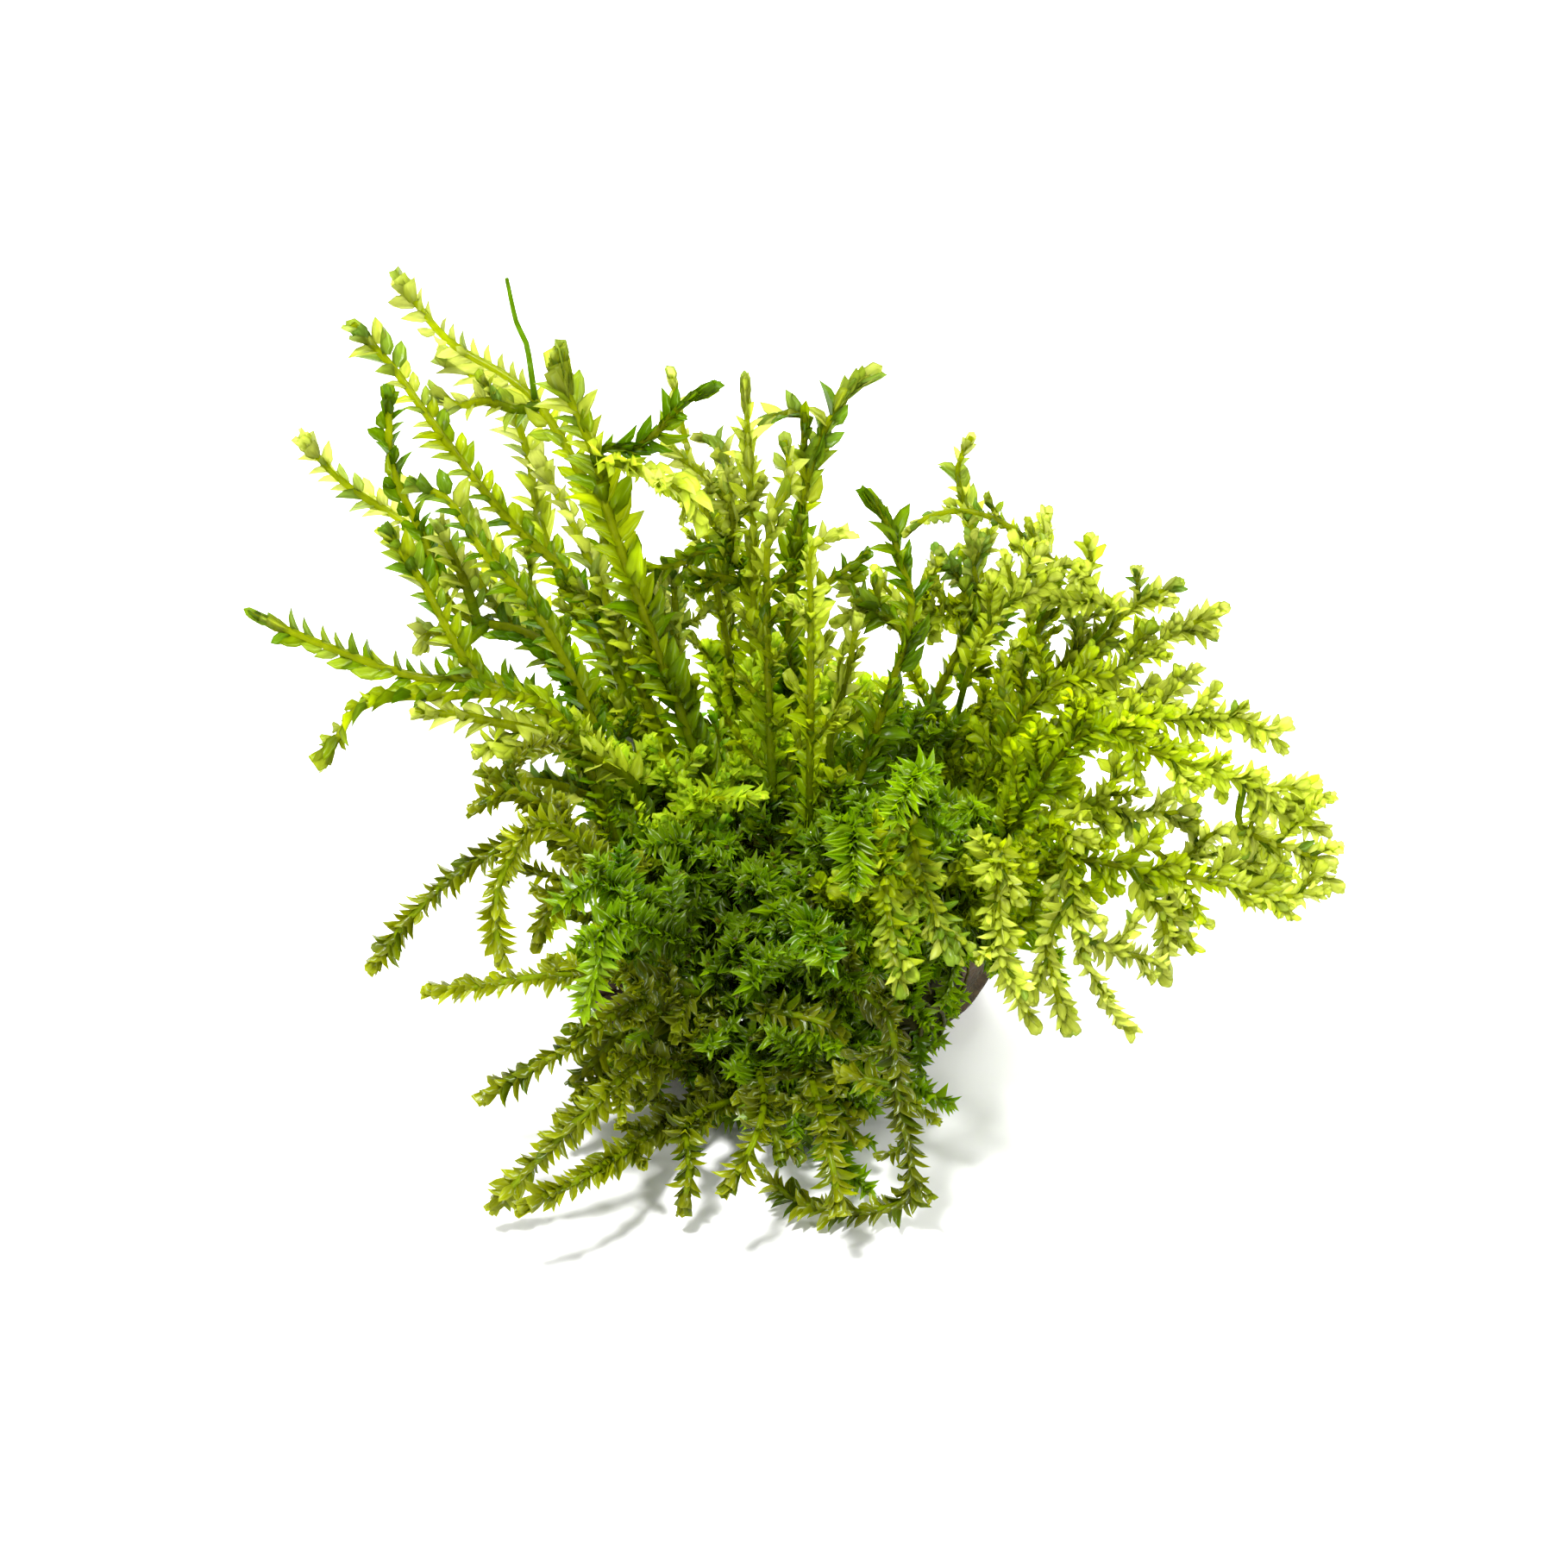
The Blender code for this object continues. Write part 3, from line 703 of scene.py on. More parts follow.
# a lighter copy for the crown thicket: painted light where the crown lies in the shade of the fronds around
# it
crownMossPaintedLight = mossMaterial("crownMossPaintedLight", {
    "surface": [(0.24, 0.3, 0.002), (0.34, 0.42, 0.003), (0.43, 0.53, 0.03), (0.26, 0.29, 0.002),
                (0.15, 0.19, 0.002)],
    "through": [(0.63, 0.76, 0.005), (0.72, 0.85, 0.015), (0.79, 0.89, 0.16), (0.54, 0.58, 0.005),
                (0.34, 0.42, 0.006)],
    "paintedEdgeAmount": 0.8, "paintedGlints": 0.4, "tones": (0.9, 1.2),
    "gloss": 0.15, "wet": 0.2, "throughShare": 0.72,
})
oldMoss = mossMaterial("oldMoss", {
    "surface": [(0.085, 0.13, 0.001), (0.12, 0.2, 0.0015), (0.2, 0.31, 0.003), (0.1, 0.1, 0.004),
                (0.34, 0.42, 0.05)],
    "through": [(0.45, 0.6, 0.003), (0.5, 0.72, 0.004), (0.62, 0.82, 0.01), (0.28, 0.27, 0.008),
                (0.66, 0.76, 0.12)],
    "paintedEdgeAmount": 0.5, "paintedGlints": 0.7, "tones": (0.5, 1.06),
    "gloss": 0.35, "wet": 0.3, "throughShare": 0.6,
})
print("stage: moss materials")


# kinds of shoots: pitch is the gap between leaves of one row, branchPitch the gap between twigs, which
# stand between branchFrom and branchTo, shares of the shoot's length

twig = {"leafLength": 1.05, "leafWidth": 0.58, "pitch": 0.54, "spread": 46, "between": 0.75, "stem": 0.16,
        "budLength": 1.4}
spear = {"leafLength": 1.6, "spread": 34, "budLength": 3.4, "tipSpread": (6, 24), "tipWidth": 0.95,
         "branchTo": 0.3}
frond = {"leaf": "open", "tipLeaf": "bud", "leafLength": 1.15, "leafWidth": 0.64, "pitch": 0.45,
         "spread": 47, "between": 0.5, "stem": 0.3, "budLength": 1.8, "tipSpread": (14, 46),
         "tipWidth": 1.35, "roll": (5, 70), "flatness": 1, "hook": 0.12, "branchPitch": 2.2,
         "branchFrom": 0.05, "branchTo": 0.65, "branchLength": (2, 5), "branchAngle": 50,
         "branchLift": 0.5, "branchKind": dict(twig, leafLength=0.95, leafWidth=0.5, pitch=0.44)}
coreKind = {"leaf": "spike", "tipLeaf": "spike", "leafLength": 1.15, "leafWidth": 0.42, "pitch": 0.33,
            "spread": 54, "between": 1.0, "stem": 0.22, "budLength": 1.6, "tipSpread": (12, 50),
            "tipWidth": 1.2, "roll": (0, 80), "flatness": 1, "hook": 0.1}
coreTwig = {"leafLength": 1.1, "leafWidth": 0.42, "stem": 0.15}


# shoots, region by region: (turn of the flat side, [(across, up, back) ...] from root to tip); moods
# and special kinds go by number, and a mood is (tone, vigour); the lowest tones darken some fronds, partly
# as painted shade where they lie in shadow

upperLeft = {
    "name": "upper_left_fronds", "seed": 11, "fade": 24, "tone": 4.4,
    "moods": {0: (4.4, 1.5), 1: (2.8, 0.8), 2: (4.2, 1.4), 3: (4.4, 1.2), 4: (3.2, 0.9), 5: (1.2, 0.4),
              6: (2.6, 0.8), 7: (5.6, 1.8), 8: (2.4, 0.7), 9: (2.8, 0.8), 10: (2.2, 0.6)},
    "special": {
        1: {"leafLength": 2.0, "leafWidth": 1.0, "pitch": 0.8, "budLength": 4.5, "tipSpread": (8, 40)},
        2: {"leafLength": 1.8, "leafWidth": 1.0},
        9: {"budLength": 3.5, "tipSpread": (6, 26), "tipWidth": 0.9},
    },
    "kind": dict(frond, leafLength=1.45, leafWidth=0.78, pitch=0.9, spread=42, between=0.2, stem=0.36,
                 budLength=2.4, tipSpread=(16, 44), tipWidth=1.4, roll=(55, 90), flatness=0.3,
                 hook=0.22, branchPitch=4.2, branchFrom=0.0, branchTo=0.5, branchLength=(2, 5.5),
                 branchAngle=40, branchLift=0.6, branchKind=twig),
    "fronds": [
        (20, [(-3, 12, 4), (-9, 25.1, 8), (-9.4, 30, 11), (-13.3, 37.2, 16), (-18.5, 40.8, 19),
            (-21.5, 44.6, 20)]),
        (0, [(-2, 12, 1), (-8.5, 29.2, 4), (-9.7, 33.8, 5), (-11.5, 38, 6), (-11.7, 40.4, 6)]),
        (10, [(-4, 12, 7), (-12.1, 27.5, 16), (-13.7, 33.8, 21), (-15, 37, 22), (-18.7, 39.9, 23)]),
        (60, [(-3, 11, 3), (-9.2, 25.6, 6), (-11, 29.7, 8), (-13.1, 33.6, 10)]),
        (25, [(-5, 11, 3), (-9.7, 24.4, 8), (-15.1, 30.3, 11), (-19.2, 35.6, 13), (-21.8, 39.2, 14),
            (-24.2, 41.8, 14)]),
        (40, [(-6, 10, 1), (-12, 22, 5), (-17.9, 24.6, 8), (-20, 29.2, 9), (-21.8, 33.3, 10),
            (-22, 37.9, 11)]),
        (15, [(-6, 11, -1), (-12.3, 23.1, 2), (-16.4, 28.2, 4), (-18.5, 31.3, 5), (-21, 32.3, 5)]),
        (0, [(-5, 12, 8), (-12.3, 23, 16), (-20, 29.2, 23), (-24.4, 32.1, 25), (-27.2, 34.9, 25)]),
        (0, [(-7, 9, -2), (-12.3, 18.5, 0), (-16.4, 20.5, 1), (-18.5, 23.6, 2), (-20, 26.4, 3),
            (-22.3, 29.7, 3)]),
        (15, [(-6, 9, 3), (-13.3, 19.5, 6), (-20.5, 20.8, 7), (-26.2, 22.8, 8), (-30.3, 24.6, 8)]),
        (70, [(-6, 6, -3), (-11.8, 18.3, -3), (-19.5, 19.6, -4), (-23.6, 19, -5), (-25, 17.2, -5),
            (-26.2, 15.6, -5)]),
    ],
    "offshoots": [
        (0, [(-13.3, 37, 16), (-14.4, 36.7, 15.5), (-16.4, 37.2, 15), (-17.9, 36.9, 14.5),
            (-19.2, 37.7, 14.5)]),
        (20, [(-11, 20.5, 6), (-12.3, 21.5, 6.5), (-15.4, 24.6, 8), (-17.4, 27.7, 9)]),
        (10, [(-16.7, 24.1, 7), (-17.4, 26.2, 7.5), (-19.2, 30.3, 8)]),
        (0, [(-13.3, 24.6, 9), (-15.4, 27.7, 10), (-17.2, 30.3, 10.5)]),
        (0, [(-17.9, 22.6, 5), (-19.5, 23.6, 5), (-20, 22.1, 5)]),
        (20, [(-10, 16.2, -3), (-11.8, 17.2, -3.5), (-14.9, 17.9, -4), (-17.9, 18.5, -4.5),
            (-20.5, 18.7, -5)]),
        (0, [(-7.5, 14.5, -2), (-9.7, 15.9, -3), (-12.3, 16.9, -4), (-15.6, 16.2, -5)]),
        (40, [(-7, 12.5, -2), (-9.2, 13.3, -2), (-12.3, 14.4, -3), (-14.4, 14.6, -4), (-16, 14.9, -4.5)]),
    ],
    "threads": [[(-13.3, 37.2, 16), (-13.8, 40.5, 16), (-14.4, 41.8, 16), (-15, 44.5, 16)]],
}
makeFronds(upperLeft, brightMoss, 11)

topTuft = {
    "name": "top_fronds", "seed": 12, "fade": 22, "tone": 4.5,
    "forked": 0.2,           # share of the longer twigs that have twigs of their own
    "moods": {0: (5.2, 1.3), 3: (3.2, 0.9), 5: (1.2, 0.3), 9: (1.5, 0.4), 11: (1.8, 0.4), 13: (2.0, 0.6),
              14: (1.8, 0.5), 19: (2.2, 0.5), 20: (2.0, 0.5)},
    "special": {
        0: {"leafLength": 0.85, "leafWidth": 0.5},
        1: spear,
        3: dict(spear, leafLength=1.7, leafWidth=0.9, budLength=4, tipSpread=(12, 36)),
        5: spear,
        7: {"leafLength": 0.95, "leafWidth": 0.55},
        9: spear,
        10: {"leafLength": 1.6, "leafWidth": 0.95},
        11: dict(spear, leafLength=1.2, leafWidth=0.5),
        12: {"branchTo": 0},
    },
    "kind": dict(frond, leafLength=1.14, leafWidth=0.66, pitch=0.7, spread=36, stray=17, between=0.4,
                 stem=0.28, budLength=1.9, tipSpread=(12, 38), tipWidth=1.2, roll=(45, 90),
                 flatness=0.5, hook=0.2, branchPitch=2.0, branchTo=0.8, branchLength=(1.6, 5.0),
                 branchAngle=54, branchLift=0.6,
                 branchKind=dict(twig, leafLength=0.92, leafWidth=0.52, stem=0.18)),
    "fronds": [
        (30, [(0, 13, 4), (-3.3, 30.3, 10), (-4.4, 35, 12), (-5.2, 38.9, 13)]),
        (0, [(0, 12, 1), (-0.3, 28.7, 6), (-0.6, 33.8, 8), (-0.8, 38.4, 9)]),
        (30, [(-1, 12, 6), (-1.9, 28.2, 12), (-1.6, 31.3, 13), (-2.1, 34.1, 14), (-4, 35.2, 14.5)]),
        (0, [(2, 12, 4), (1.8, 24, 7), (2.7, 31.3, 9), (3.6, 34.6, 10), (4.9, 37.2, 11),
            (6.5, 38.6, 11.5)]),
        (0, [(1, 12, -1), (0.5, 28, 2), (1.8, 32.3, 4), (1.5, 35.1, 5)]),
        (20, [(5, 12, -2), (8.9, 23.6, 0), (8.4, 27.6, 1), (7.6, 30, 2), (6.5, 31.3, 2)]),
        (0, [(3, 12, -3), (3.1, 24.6, -1), (3.1, 28.2, 0), (5.1, 29.4, 0)]),
        (50, [(11, 14, 6), (17.5, 25.5, 10), (15.9, 28.9, 9), (13, 30.5, 7), (10.4, 30.4, 6),
            (8.6, 29.2, 5)]),
        (0, [(7, 13, 6), (12.8, 24.6, 12), (12.6, 29.7, 14), (11.8, 32.8, 15), (12.7, 35.2, 15.5)]),
    ],
    "offshoots": [
        (0, [(-9.2, 34.4, 5), (-6.9, 34.6, 4), (-4.6, 36.9, 3), (-2.8, 37.9, 3)]),
        (60, [(-9.7, 33.8, 4.5), (-7.2, 33.1, 2.5), (-4.6, 31.8, 1.5), (-3.3, 29.5, 1)]),
        (0, [(2.7, 33, 10), (2.7, 34.8, 10), (2.8, 36.6, 10)]),
        (0, [(3, 36.2, 10.5), (1.5, 36.4, 10), (0, 35.6, 10)]),
        (30, [(1.3, 22.1, 5), (-0.5, 25.6, 6), (-1.3, 27.7, 6.5), (-3.1, 28.3, 7), (-4.9, 27.4, 7),
            (-8.5, 27.1, 7)]),
        (0, [(-1, 26.4, 6), (-2.8, 26.8, 5.5), (-4.3, 26.8, 5)]),
        (0, [(-6.2, 27.5, 7), (-6.7, 25.6, 6.5), (-7.4, 25.1, 6), (-8.7, 24.4, 5.5)]),
        (0, [(-5.1, 20.5, 4), (-4.9, 23, 5.5), (-5, 25.6, 7), (-5.1, 27.5, 7.5)]),
        (0, [(-6.2, 20.5, 5), (-6.3, 23, 7), (-5.9, 25.1, 8), (-5.4, 27.2, 9)]),
        (0, [(-1.8, 28.2, 7), (-1.8, 30.3, 8), (-1.5, 33, 9)]),
        (0, [(3, 24.6, 3), (4.1, 26.4, 3.5), (5.6, 27.4, 4), (6.5, 28.2, 4)]),
        (0, [(8.7, 23, 2), (7.2, 24.6, 2.5), (5.6, 25.4, 3)]),
        (0, [(4.2, 16.5, 0), (5.2, 20.5, 1), (6, 24.8, 2)]),
        (0, [(-2.1, 26.2, 6), (-1.6, 30.3, 6), (-3.1, 32.6, 6), (-5.4, 34.4, 6)]),
    ],
}
makeFronds(topTuft, brightMoss, 11)

rightSpray = {
    "name": "right_fronds", "seed": 13, "fade": 18, "tone": 5.5, "forked": 0.35,
    "moods": {8: (5.2, 1.4), 9: (5.0, 1.3), 10: (4.3, 0.85), 11: (4.0, 0.8), 17: (5.2, 1.4), 18: (5.2, 1.4)},
    "special": {
        8: {"branchPitch": 2.1, "branchLength": (1.4, 3.4)},
        9: {"branchPitch": 1.8, "branchLength": (1.4, 3.6)},
        12: {"branchPitch": 2.6, "branchLength": (1.2, 2.4)},
        17: {"branchPitch": 2.6, "branchLength": (1.2, 2.4)},
        18: {"branchPitch": 2.2, "branchLength": (1.2, 2.6)},
    },
    "kind": dict(frond, tipLeaf="knob", leafLength=1.1, leafWidth=0.62, pitch=0.5, spread=46, between=0.6,
                 stem=0.23, budLength=1.3, tipSpread=(24, 62), tipWidth=1.3, roll=(25, 85), flatness=0.7,
                 hook=0.15, branchPitch=1.2, branchFrom=0.08, branchTo=0.96, branchLength=(1.8, 4.6),
                 branchAngle=52,
                 branchKind=dict(twig, leaf="short", leafLength=0.95, budLength=1.1, tipSpread=(26, 64))),
    "fronds": [
        (60, [(8, 12, 3), (15.4, 22, 10), (16.6, 26.7, 13), (17.2, 30.6, 14)]),
        (0, [(10, 12, 2), (17, 20.5, 7), (20.5, 23.1, 9), (22.3, 25, 10), (24.9, 26.3, 10)]),
        (0, [(11, 11, -1), (16.4, 19.5, 1), (21.5, 21.2, 3), (24.4, 23.2, 4), (27.3, 24.7, 4)]),
        (0, [(11, 11, 5), (18.5, 18.5, 10), (23.6, 19.6, 13), (26.1, 21.3, 13.5)]),
        (0, [(12, 9, 1), (17.5, 17, 3), (22.6, 18, 4), (26.4, 18.4, 4), (29.5, 17.9, 3.5),
            (31.3, 16.4, 3)]),
        (0, [(12, 8, -2), (19, 17.2, -3), (23.6, 16.2, -4), (27.5, 15, -5), (30.3, 14.1, -5),
            (32.8, 14.4, -5)]),
        (0, [(12, 6, -5), (17.9, 9.7, -8), (23.1, 9.2, -9), (27.7, 8.5, -9), (30.8, 7.7, -9),
            (33.8, 8.1, -9)]),
        (0, [(13, 8, 0), (18.5, 13, 0), (22.6, 12.6, 0), (25.9, 12.8, 0)]),
        (60, [(12, 8, -6), (17.4, 12, -10), (18.7, 8.5, -13), (19.2, 5, -15), (20.3, 2.3, -16),
            (22.3, -0.4, -17)]),
        (0, [(12, 7, -7), (14.4, 10.5, -12), (14.2, 6.9, -15), (14.6, 3.6, -17), (16.4, 0, -18)]),
        (0, [(7, 7, -8), (8.7, 11.8, -13), (9.7, 8.7, -16), (10.8, 5.6, -18), (11.5, 4.1, -18.5)]),
        (0, [(5, 6, -9), (7, 10.4, -16), (7.7, 6.7, -20), (8.2, 3.6, -22), (8.4, 2, -22.5)]),
    ],
    "offshoots": [
        (0, [(22.6, 8.7, -9.5), (24.1, 6.2, -11), (24.1, 3.3, -12)]),
        (0, [(13.3, 25.1, 10), (11.3, 24.9, 8), (8.7, 24.9, 5), (5.6, 25.1, 3)]),
        (30, [(21, 24.6, 8), (20, 25.6, 8), (19.2, 27.2, 8), (18.5, 25.6, 8)]),
        (0, [(28.7, 14.6, -5), (30.8, 12.8, -5), (32.8, 12.6, -5)]),
        (0, [(28.7, 11.8, -5), (31.8, 10.5, -6), (33.8, 9.7, -6.5)]),
        (0, [(19.5, 5.1, -15), (21.5, 4.4, -14), (23.6, 3.8, -13.5), (24.1, 2.8, -13)]),
        (0, [(18.5, 7.7, -13.5), (17.2, 5.1, -15), (17.7, 2.1, -16), (18.4, -0.3, -16.5)]),
        (30, [(12.3, 20.5, 6), (13.3, 24, 8), (12.8, 27.2, 9), (12.6, 29.2, 10)]),
        (0, [(12.8, 22, 4), (14.6, 25.1, 5), (15.9, 26.9, 6), (17, 28.7, 7)]),
        (0, [(24.6, 9.7, -1), (26.7, 11.3, -1), (28.2, 11.8, -1)]),
        (0, [(27.7, 9.2, -3), (29.5, 9.8, -3), (31.3, 9.5, -3)]),
        (0, [(23.6, 9.2, -4), (24.9, 7.2, -5), (25.4, 5.1, -6)]),
    ],
}
makeFronds(rightSpray, brightMoss, 13)

middleTuft = {
    "name": "middle_fronds", "seed": 14, "fade": 16, "tone": 3.5,
    "kind": dict(coreKind, leafLength=1.4, leafWidth=0.52, pitch=0.36, stem=0.25, budLength=1.8,
                 tipSpread=(14, 54), tipWidth=1.3, roll=(0, 60), branchPitch=1.5, branchFrom=0.1,
                 branchTo=0.8, branchLength=(2, 5), branchAngle=48, branchLift=0.6,
                 branchKind={"leafLength": 1.15, "leafWidth": 0.46, "stem": 0.16}),
    "fronds": [
        (0, [(8, 10, -5), (9.5, 15, -13), (7.9, 12.3, -19)]),
        (0, [(5, 9, -7), (5.6, 12, -15), (5.6, 8, -21)]),
        (0, [(2, 5, -8), (3, 6, -15), (4.3, 3.6, -20)]),
        (0, [(-5, 6, -7), (-9, 8.5, -13), (-12, 7.2, -16)]),
        (0, [(-4, 5, -8), (-8.5, 6.2, -15), (-9.7, 3.3, -18), (-10.3, 0.8, -19)]),
    ],
}
makeFronds(middleTuft, coreMossPaintedShade, 5)

lowerLeft = {
    "name": "lower_left_fronds", "seed": 15, "fade": 26, "tone": 3.8,
    "kind": frond,
    "fronds": [
        (20, [(-6, 6, -5), (-11.8, 11.5, -6), (-16.9, 9.7, -8), (-20.5, 6.7, -9), (-23.1, 3.3, -10)]),
        (0, [(-6, 7, -7), (-12.3, 12, -9), (-15.2, 9.2, -11), (-15.6, 5.6, -12), (-15.1, 3.3, -13)]),
        (45, [(-3, 2, -9), (-7.2, 2.8, -12), (-12.3, 3, -14), (-16.9, 2.3, -15), (-19.7, 2.1, -15)]),
        (30, [(-4, 0, -9), (-7.2, 1.3, -14), (-11.3, -1.3, -17), (-16.7, -4.4, -18)]),
        (0, [(-3, -2, -9), (-6.7, -2.1, -15), (-9.7, -4.6, -19), (-13.1, -7.9, -20), (-15.9, -10.9, -20)]),
        (0, [(-3, -3.5, -9.5), (-6.2, -6.2, -15), (-8.7, -7.9, -20), (-11.8, -9.7, -23),
            (-14.1, -10.8, -24)]),
    ],
    "offshoots": [
        (0, [(-11, 11, -6), (-13, 13.3, -6.2), (-15, 13.9, -6), (-17.2, 12.8, -6)]),
        (0, [(-14.6, 13.9, -6), (-15.4, 14.6, -6), (-16.4, 15.1, -6)]),
        (0, [(-8.5, 9.5, -5), (-10.3, 9.2, -6), (-12.3, 7.2, -7), (-13.3, 4.6, -8)]),
        (0, [(-5.5, 1, -9), (-7.2, 0.5, -10), (-9.2, -1.5, -11), (-11.3, -3.6, -11.5)]),
        (0, [(-6, -1.5, -10), (-7.7, -2.6, -11), (-9.7, -4.6, -12.5), (-12, -5.6, -13.5)]),
    ],
}
makeFronds(lowerLeft, deepMossPaintedShade, 7)

lowerFringe = {
    "name": "lower_fronds", "seed": 16, "fade": 20, "tone": 3.5,
    "kind": dict(frond, leafLength=1.2, leafWidth=0.62, pitch=0.48, spread=48, stem=0.28,
                 branchLength=(2, 4.5)),
    "fronds": [
        (0, [(0, -3, -9.5), (-4.1, -5.6, -16), (-4.1, -8.2, -19), (-4.5, -11, -20)]),
        (0, [(0, -1, -9), (0.3, -4.6, -17), (-0.6, -7.5, -21), (-2.1, -9.9, -23)]),
        (0, [(2, 0, -10), (3.1, -3.1, -15), (4.1, -7, -20), (4.9, -11, -23)]),
        (30, [(4, 4, -9), (6.2, 2.1, -14), (7.9, 0, -17), (8.3, -4.1, -19), (9.1, -8.4, -20),
            (8.4, -10.5, -19.5), (5.1, -11.1, -19.2), (2.1, -10.3, -18.6), (0, -8.5, -17)]),
        (0, [(3, -1, -10), (4.1, -4.4, -13), (6.2, -7.2, -15)]),
    ],
    "offshoots": [
        (0, [(0.3, -4.6, -17), (1.0, -6.4, -18.5), (1.3, -8.2, -20)]),
        (0, [(7.9, -3.8, -19), (6.2, -3.1, -18.5), (4.6, -2.6, -18)]),
        (0, [(0.5, 1.0, -13), (3.6, 0.3, -14), (5.1, -0.5, -15)]),
    ],
}
makeFronds(lowerFringe, deepMossPaintedShade, 5)

backTuft = {
    "name": "back_fronds", "seed": 17, "fade": 20, "tone": 3.8,
    "kind": dict(frond, leafLength=1.3, leafWidth=0.66, pitch=0.64, spread=48, between=0.7, stem=0.24,
                 budLength=2.0, tipSpread=(14, 44), tipWidth=1.2, roll=(25, 85), flatness=0.8, hook=0.15,
                 branchPitch=1.6, branchTo=0.9, branchLength=(2, 5.5), branchLift=0.6, branchKind=twig),
    "fronds": [
        (0, [(-3, 10, 5), (-7, 14, 13), (-10, 16, 21)]),
        (0, [(0, 11, 7), (-2, 15, 15), (-4, 17, 24)]),
        (0, [(3, 12, 8), (3, 19, 14), (4, 22, 22)]),
        (0, [(6, 11, 7), (9, 15, 15), (11, 16.5, 23)]),
        (0, [(9, 10, 5), (14, 14, 11), (18, 16, 18)]),
    ],
}
makeFronds(backTuft, deepMossPaintedShade, 5)


# driftwood: a worn flat-cut chip, the same form as its solid with grain cut into it

wood = {
    "length": 25 * mm,
    "radius": 5.4 * mm,
    "centre": Vector((2.0, 0.6, 3.9)) * mm,
    "yaw": math.radians(14),
    "bow": 1.1 * mm,
    "bend": 2.2,             # radians of a sine wave from the middle to an end
    "flute": 0.10,
    "knot": 0.24,
    "sides": 96,
    "rings": 70,
    "grain": 0.22 * mm,
    "crack": 0.5 * mm,
    "splits": (0.4, 1.5, 2.3, 3.5, 4.6, 5.5),      # radians, where drying splits run in from the ends
    "splitDepth": 1.1 * mm,
    "splitWidth": 0.1,       # radians to each side
    "splitWave": 0.15,
    "splitFrom": 0.62,       # share of the way from the middle to an end
}


def woodRadius(along, angle):
    # along runs from -1 to 1 down the log: worn round ends, long grooves and one knot
    ends = (1 - 0.62 * abs(along) ** 5) * (1 + 0.09 * math.sin(2.4 * along + 0.8))
    flutes = math.sin(5 * angle + 1.6 * along) + 0.6 * math.sin(9 * angle - 2.3 * along + 1)
    knot = math.exp(-((along - 0.35) / 0.22) ** 2) * math.exp(-((angle - 1.1) / 0.55) ** 2)
    return wood["radius"] * ends * (1 + wood["flute"] * 0.6 * flutes + wood["knot"] * knot)


def woodBow(along):
    return wood["bow"] * math.sin(wood["bend"] * along)


def woodNoise(along, angle, stretch, around, shift=0):
    # Noise on the log's skin, with no seam where the angle starts again
    return noise.noise(Vector((along * stretch + shift, math.cos(angle) * around, math.sin(angle) * around)))


def woodPoint(along, angle, radius):
    reach = along * wood["length"] / 2
    y = radius * math.cos(angle) + woodBow(along)
    turned = Vector((reach * math.cos(wood["yaw"]) - y * math.sin(wood["yaw"]),
                     reach * math.sin(wood["yaw"]) + y * math.cos(wood["yaw"]),
                     radius * math.sin(angle)))
    return wood["centre"] + turned


def insideWood(point, room):
    local = Matrix.Rotation(-wood["yaw"], 3, "Z") @ (point - wood["centre"])
    along = local.x / (wood["length"] / 2)
    if abs(along) > 1.05:
        return False
    y = local.y - woodBow(along)
    return math.hypot(y, local.z) < woodRadius(max(-1, min(1, along)), math.atan2(local.z, y)) + room


def woodMaterial():
    material, nodes, shader = newMaterial("wetDriftwood")
    coords = nodes.new("ShaderNodeTexCoord").outputs["Object"]
    turned = {"Vector": coords, "Rotation": (0, 0, -wood["yaw"])}
    shift = -(Matrix.Rotation(-wood["yaw"], 3, "Z") @ wood["centre"])
    grainMap = addNode("ShaderNodeMapping", dict(turned, Scale=(0.12, 1, 1)))
    grain = noiseOn(grainMap.outputs[0], 2600, 5, 0.4)
    # the ends show growth rings instead of long grain
    local = addNode("ShaderNodeMapping", dict(turned, Location=shift)).outputs[0]
    rings = addNode("ShaderNodeTexWave", {"Vector": local, "Scale": 520, "Distortion": 3, "Detail": 3,
                                          "Detail Scale": 1.5}, wave_type="RINGS", rings_direction="X")
    atEnd = calc("ABSOLUTE", calc("DIVIDE", splitVector(local)["X"], wood["length"] / 2))
    lines = addNode("ShaderNodeMix", {0: times(minus(atEnd, 0.9), 14, True), 2: grain,
                                      3: plus(times(rings.outputs["Fac"], 0.3), 0.33)}).outputs[0]
    stains = noiseOn(coords, 260, 3)
    body = mixed(times(minus(lines, 0.32), 2.8, True), (0.012, 0.007, 0.003, 1), (0.08, 0.046, 0.021, 1))
    body = mixed(times(minus(stains, 0.5), 3, True), body, (0.025, 0.024, 0.005, 1))
    feed(shader, {"Base Color": body, "Roughness": plus(times(lines, 0.4), 0.3),
                  "Specular IOR Level": 0.15})
    addBump(shader, lines, 0.8, 0.2 * mm)
    return material


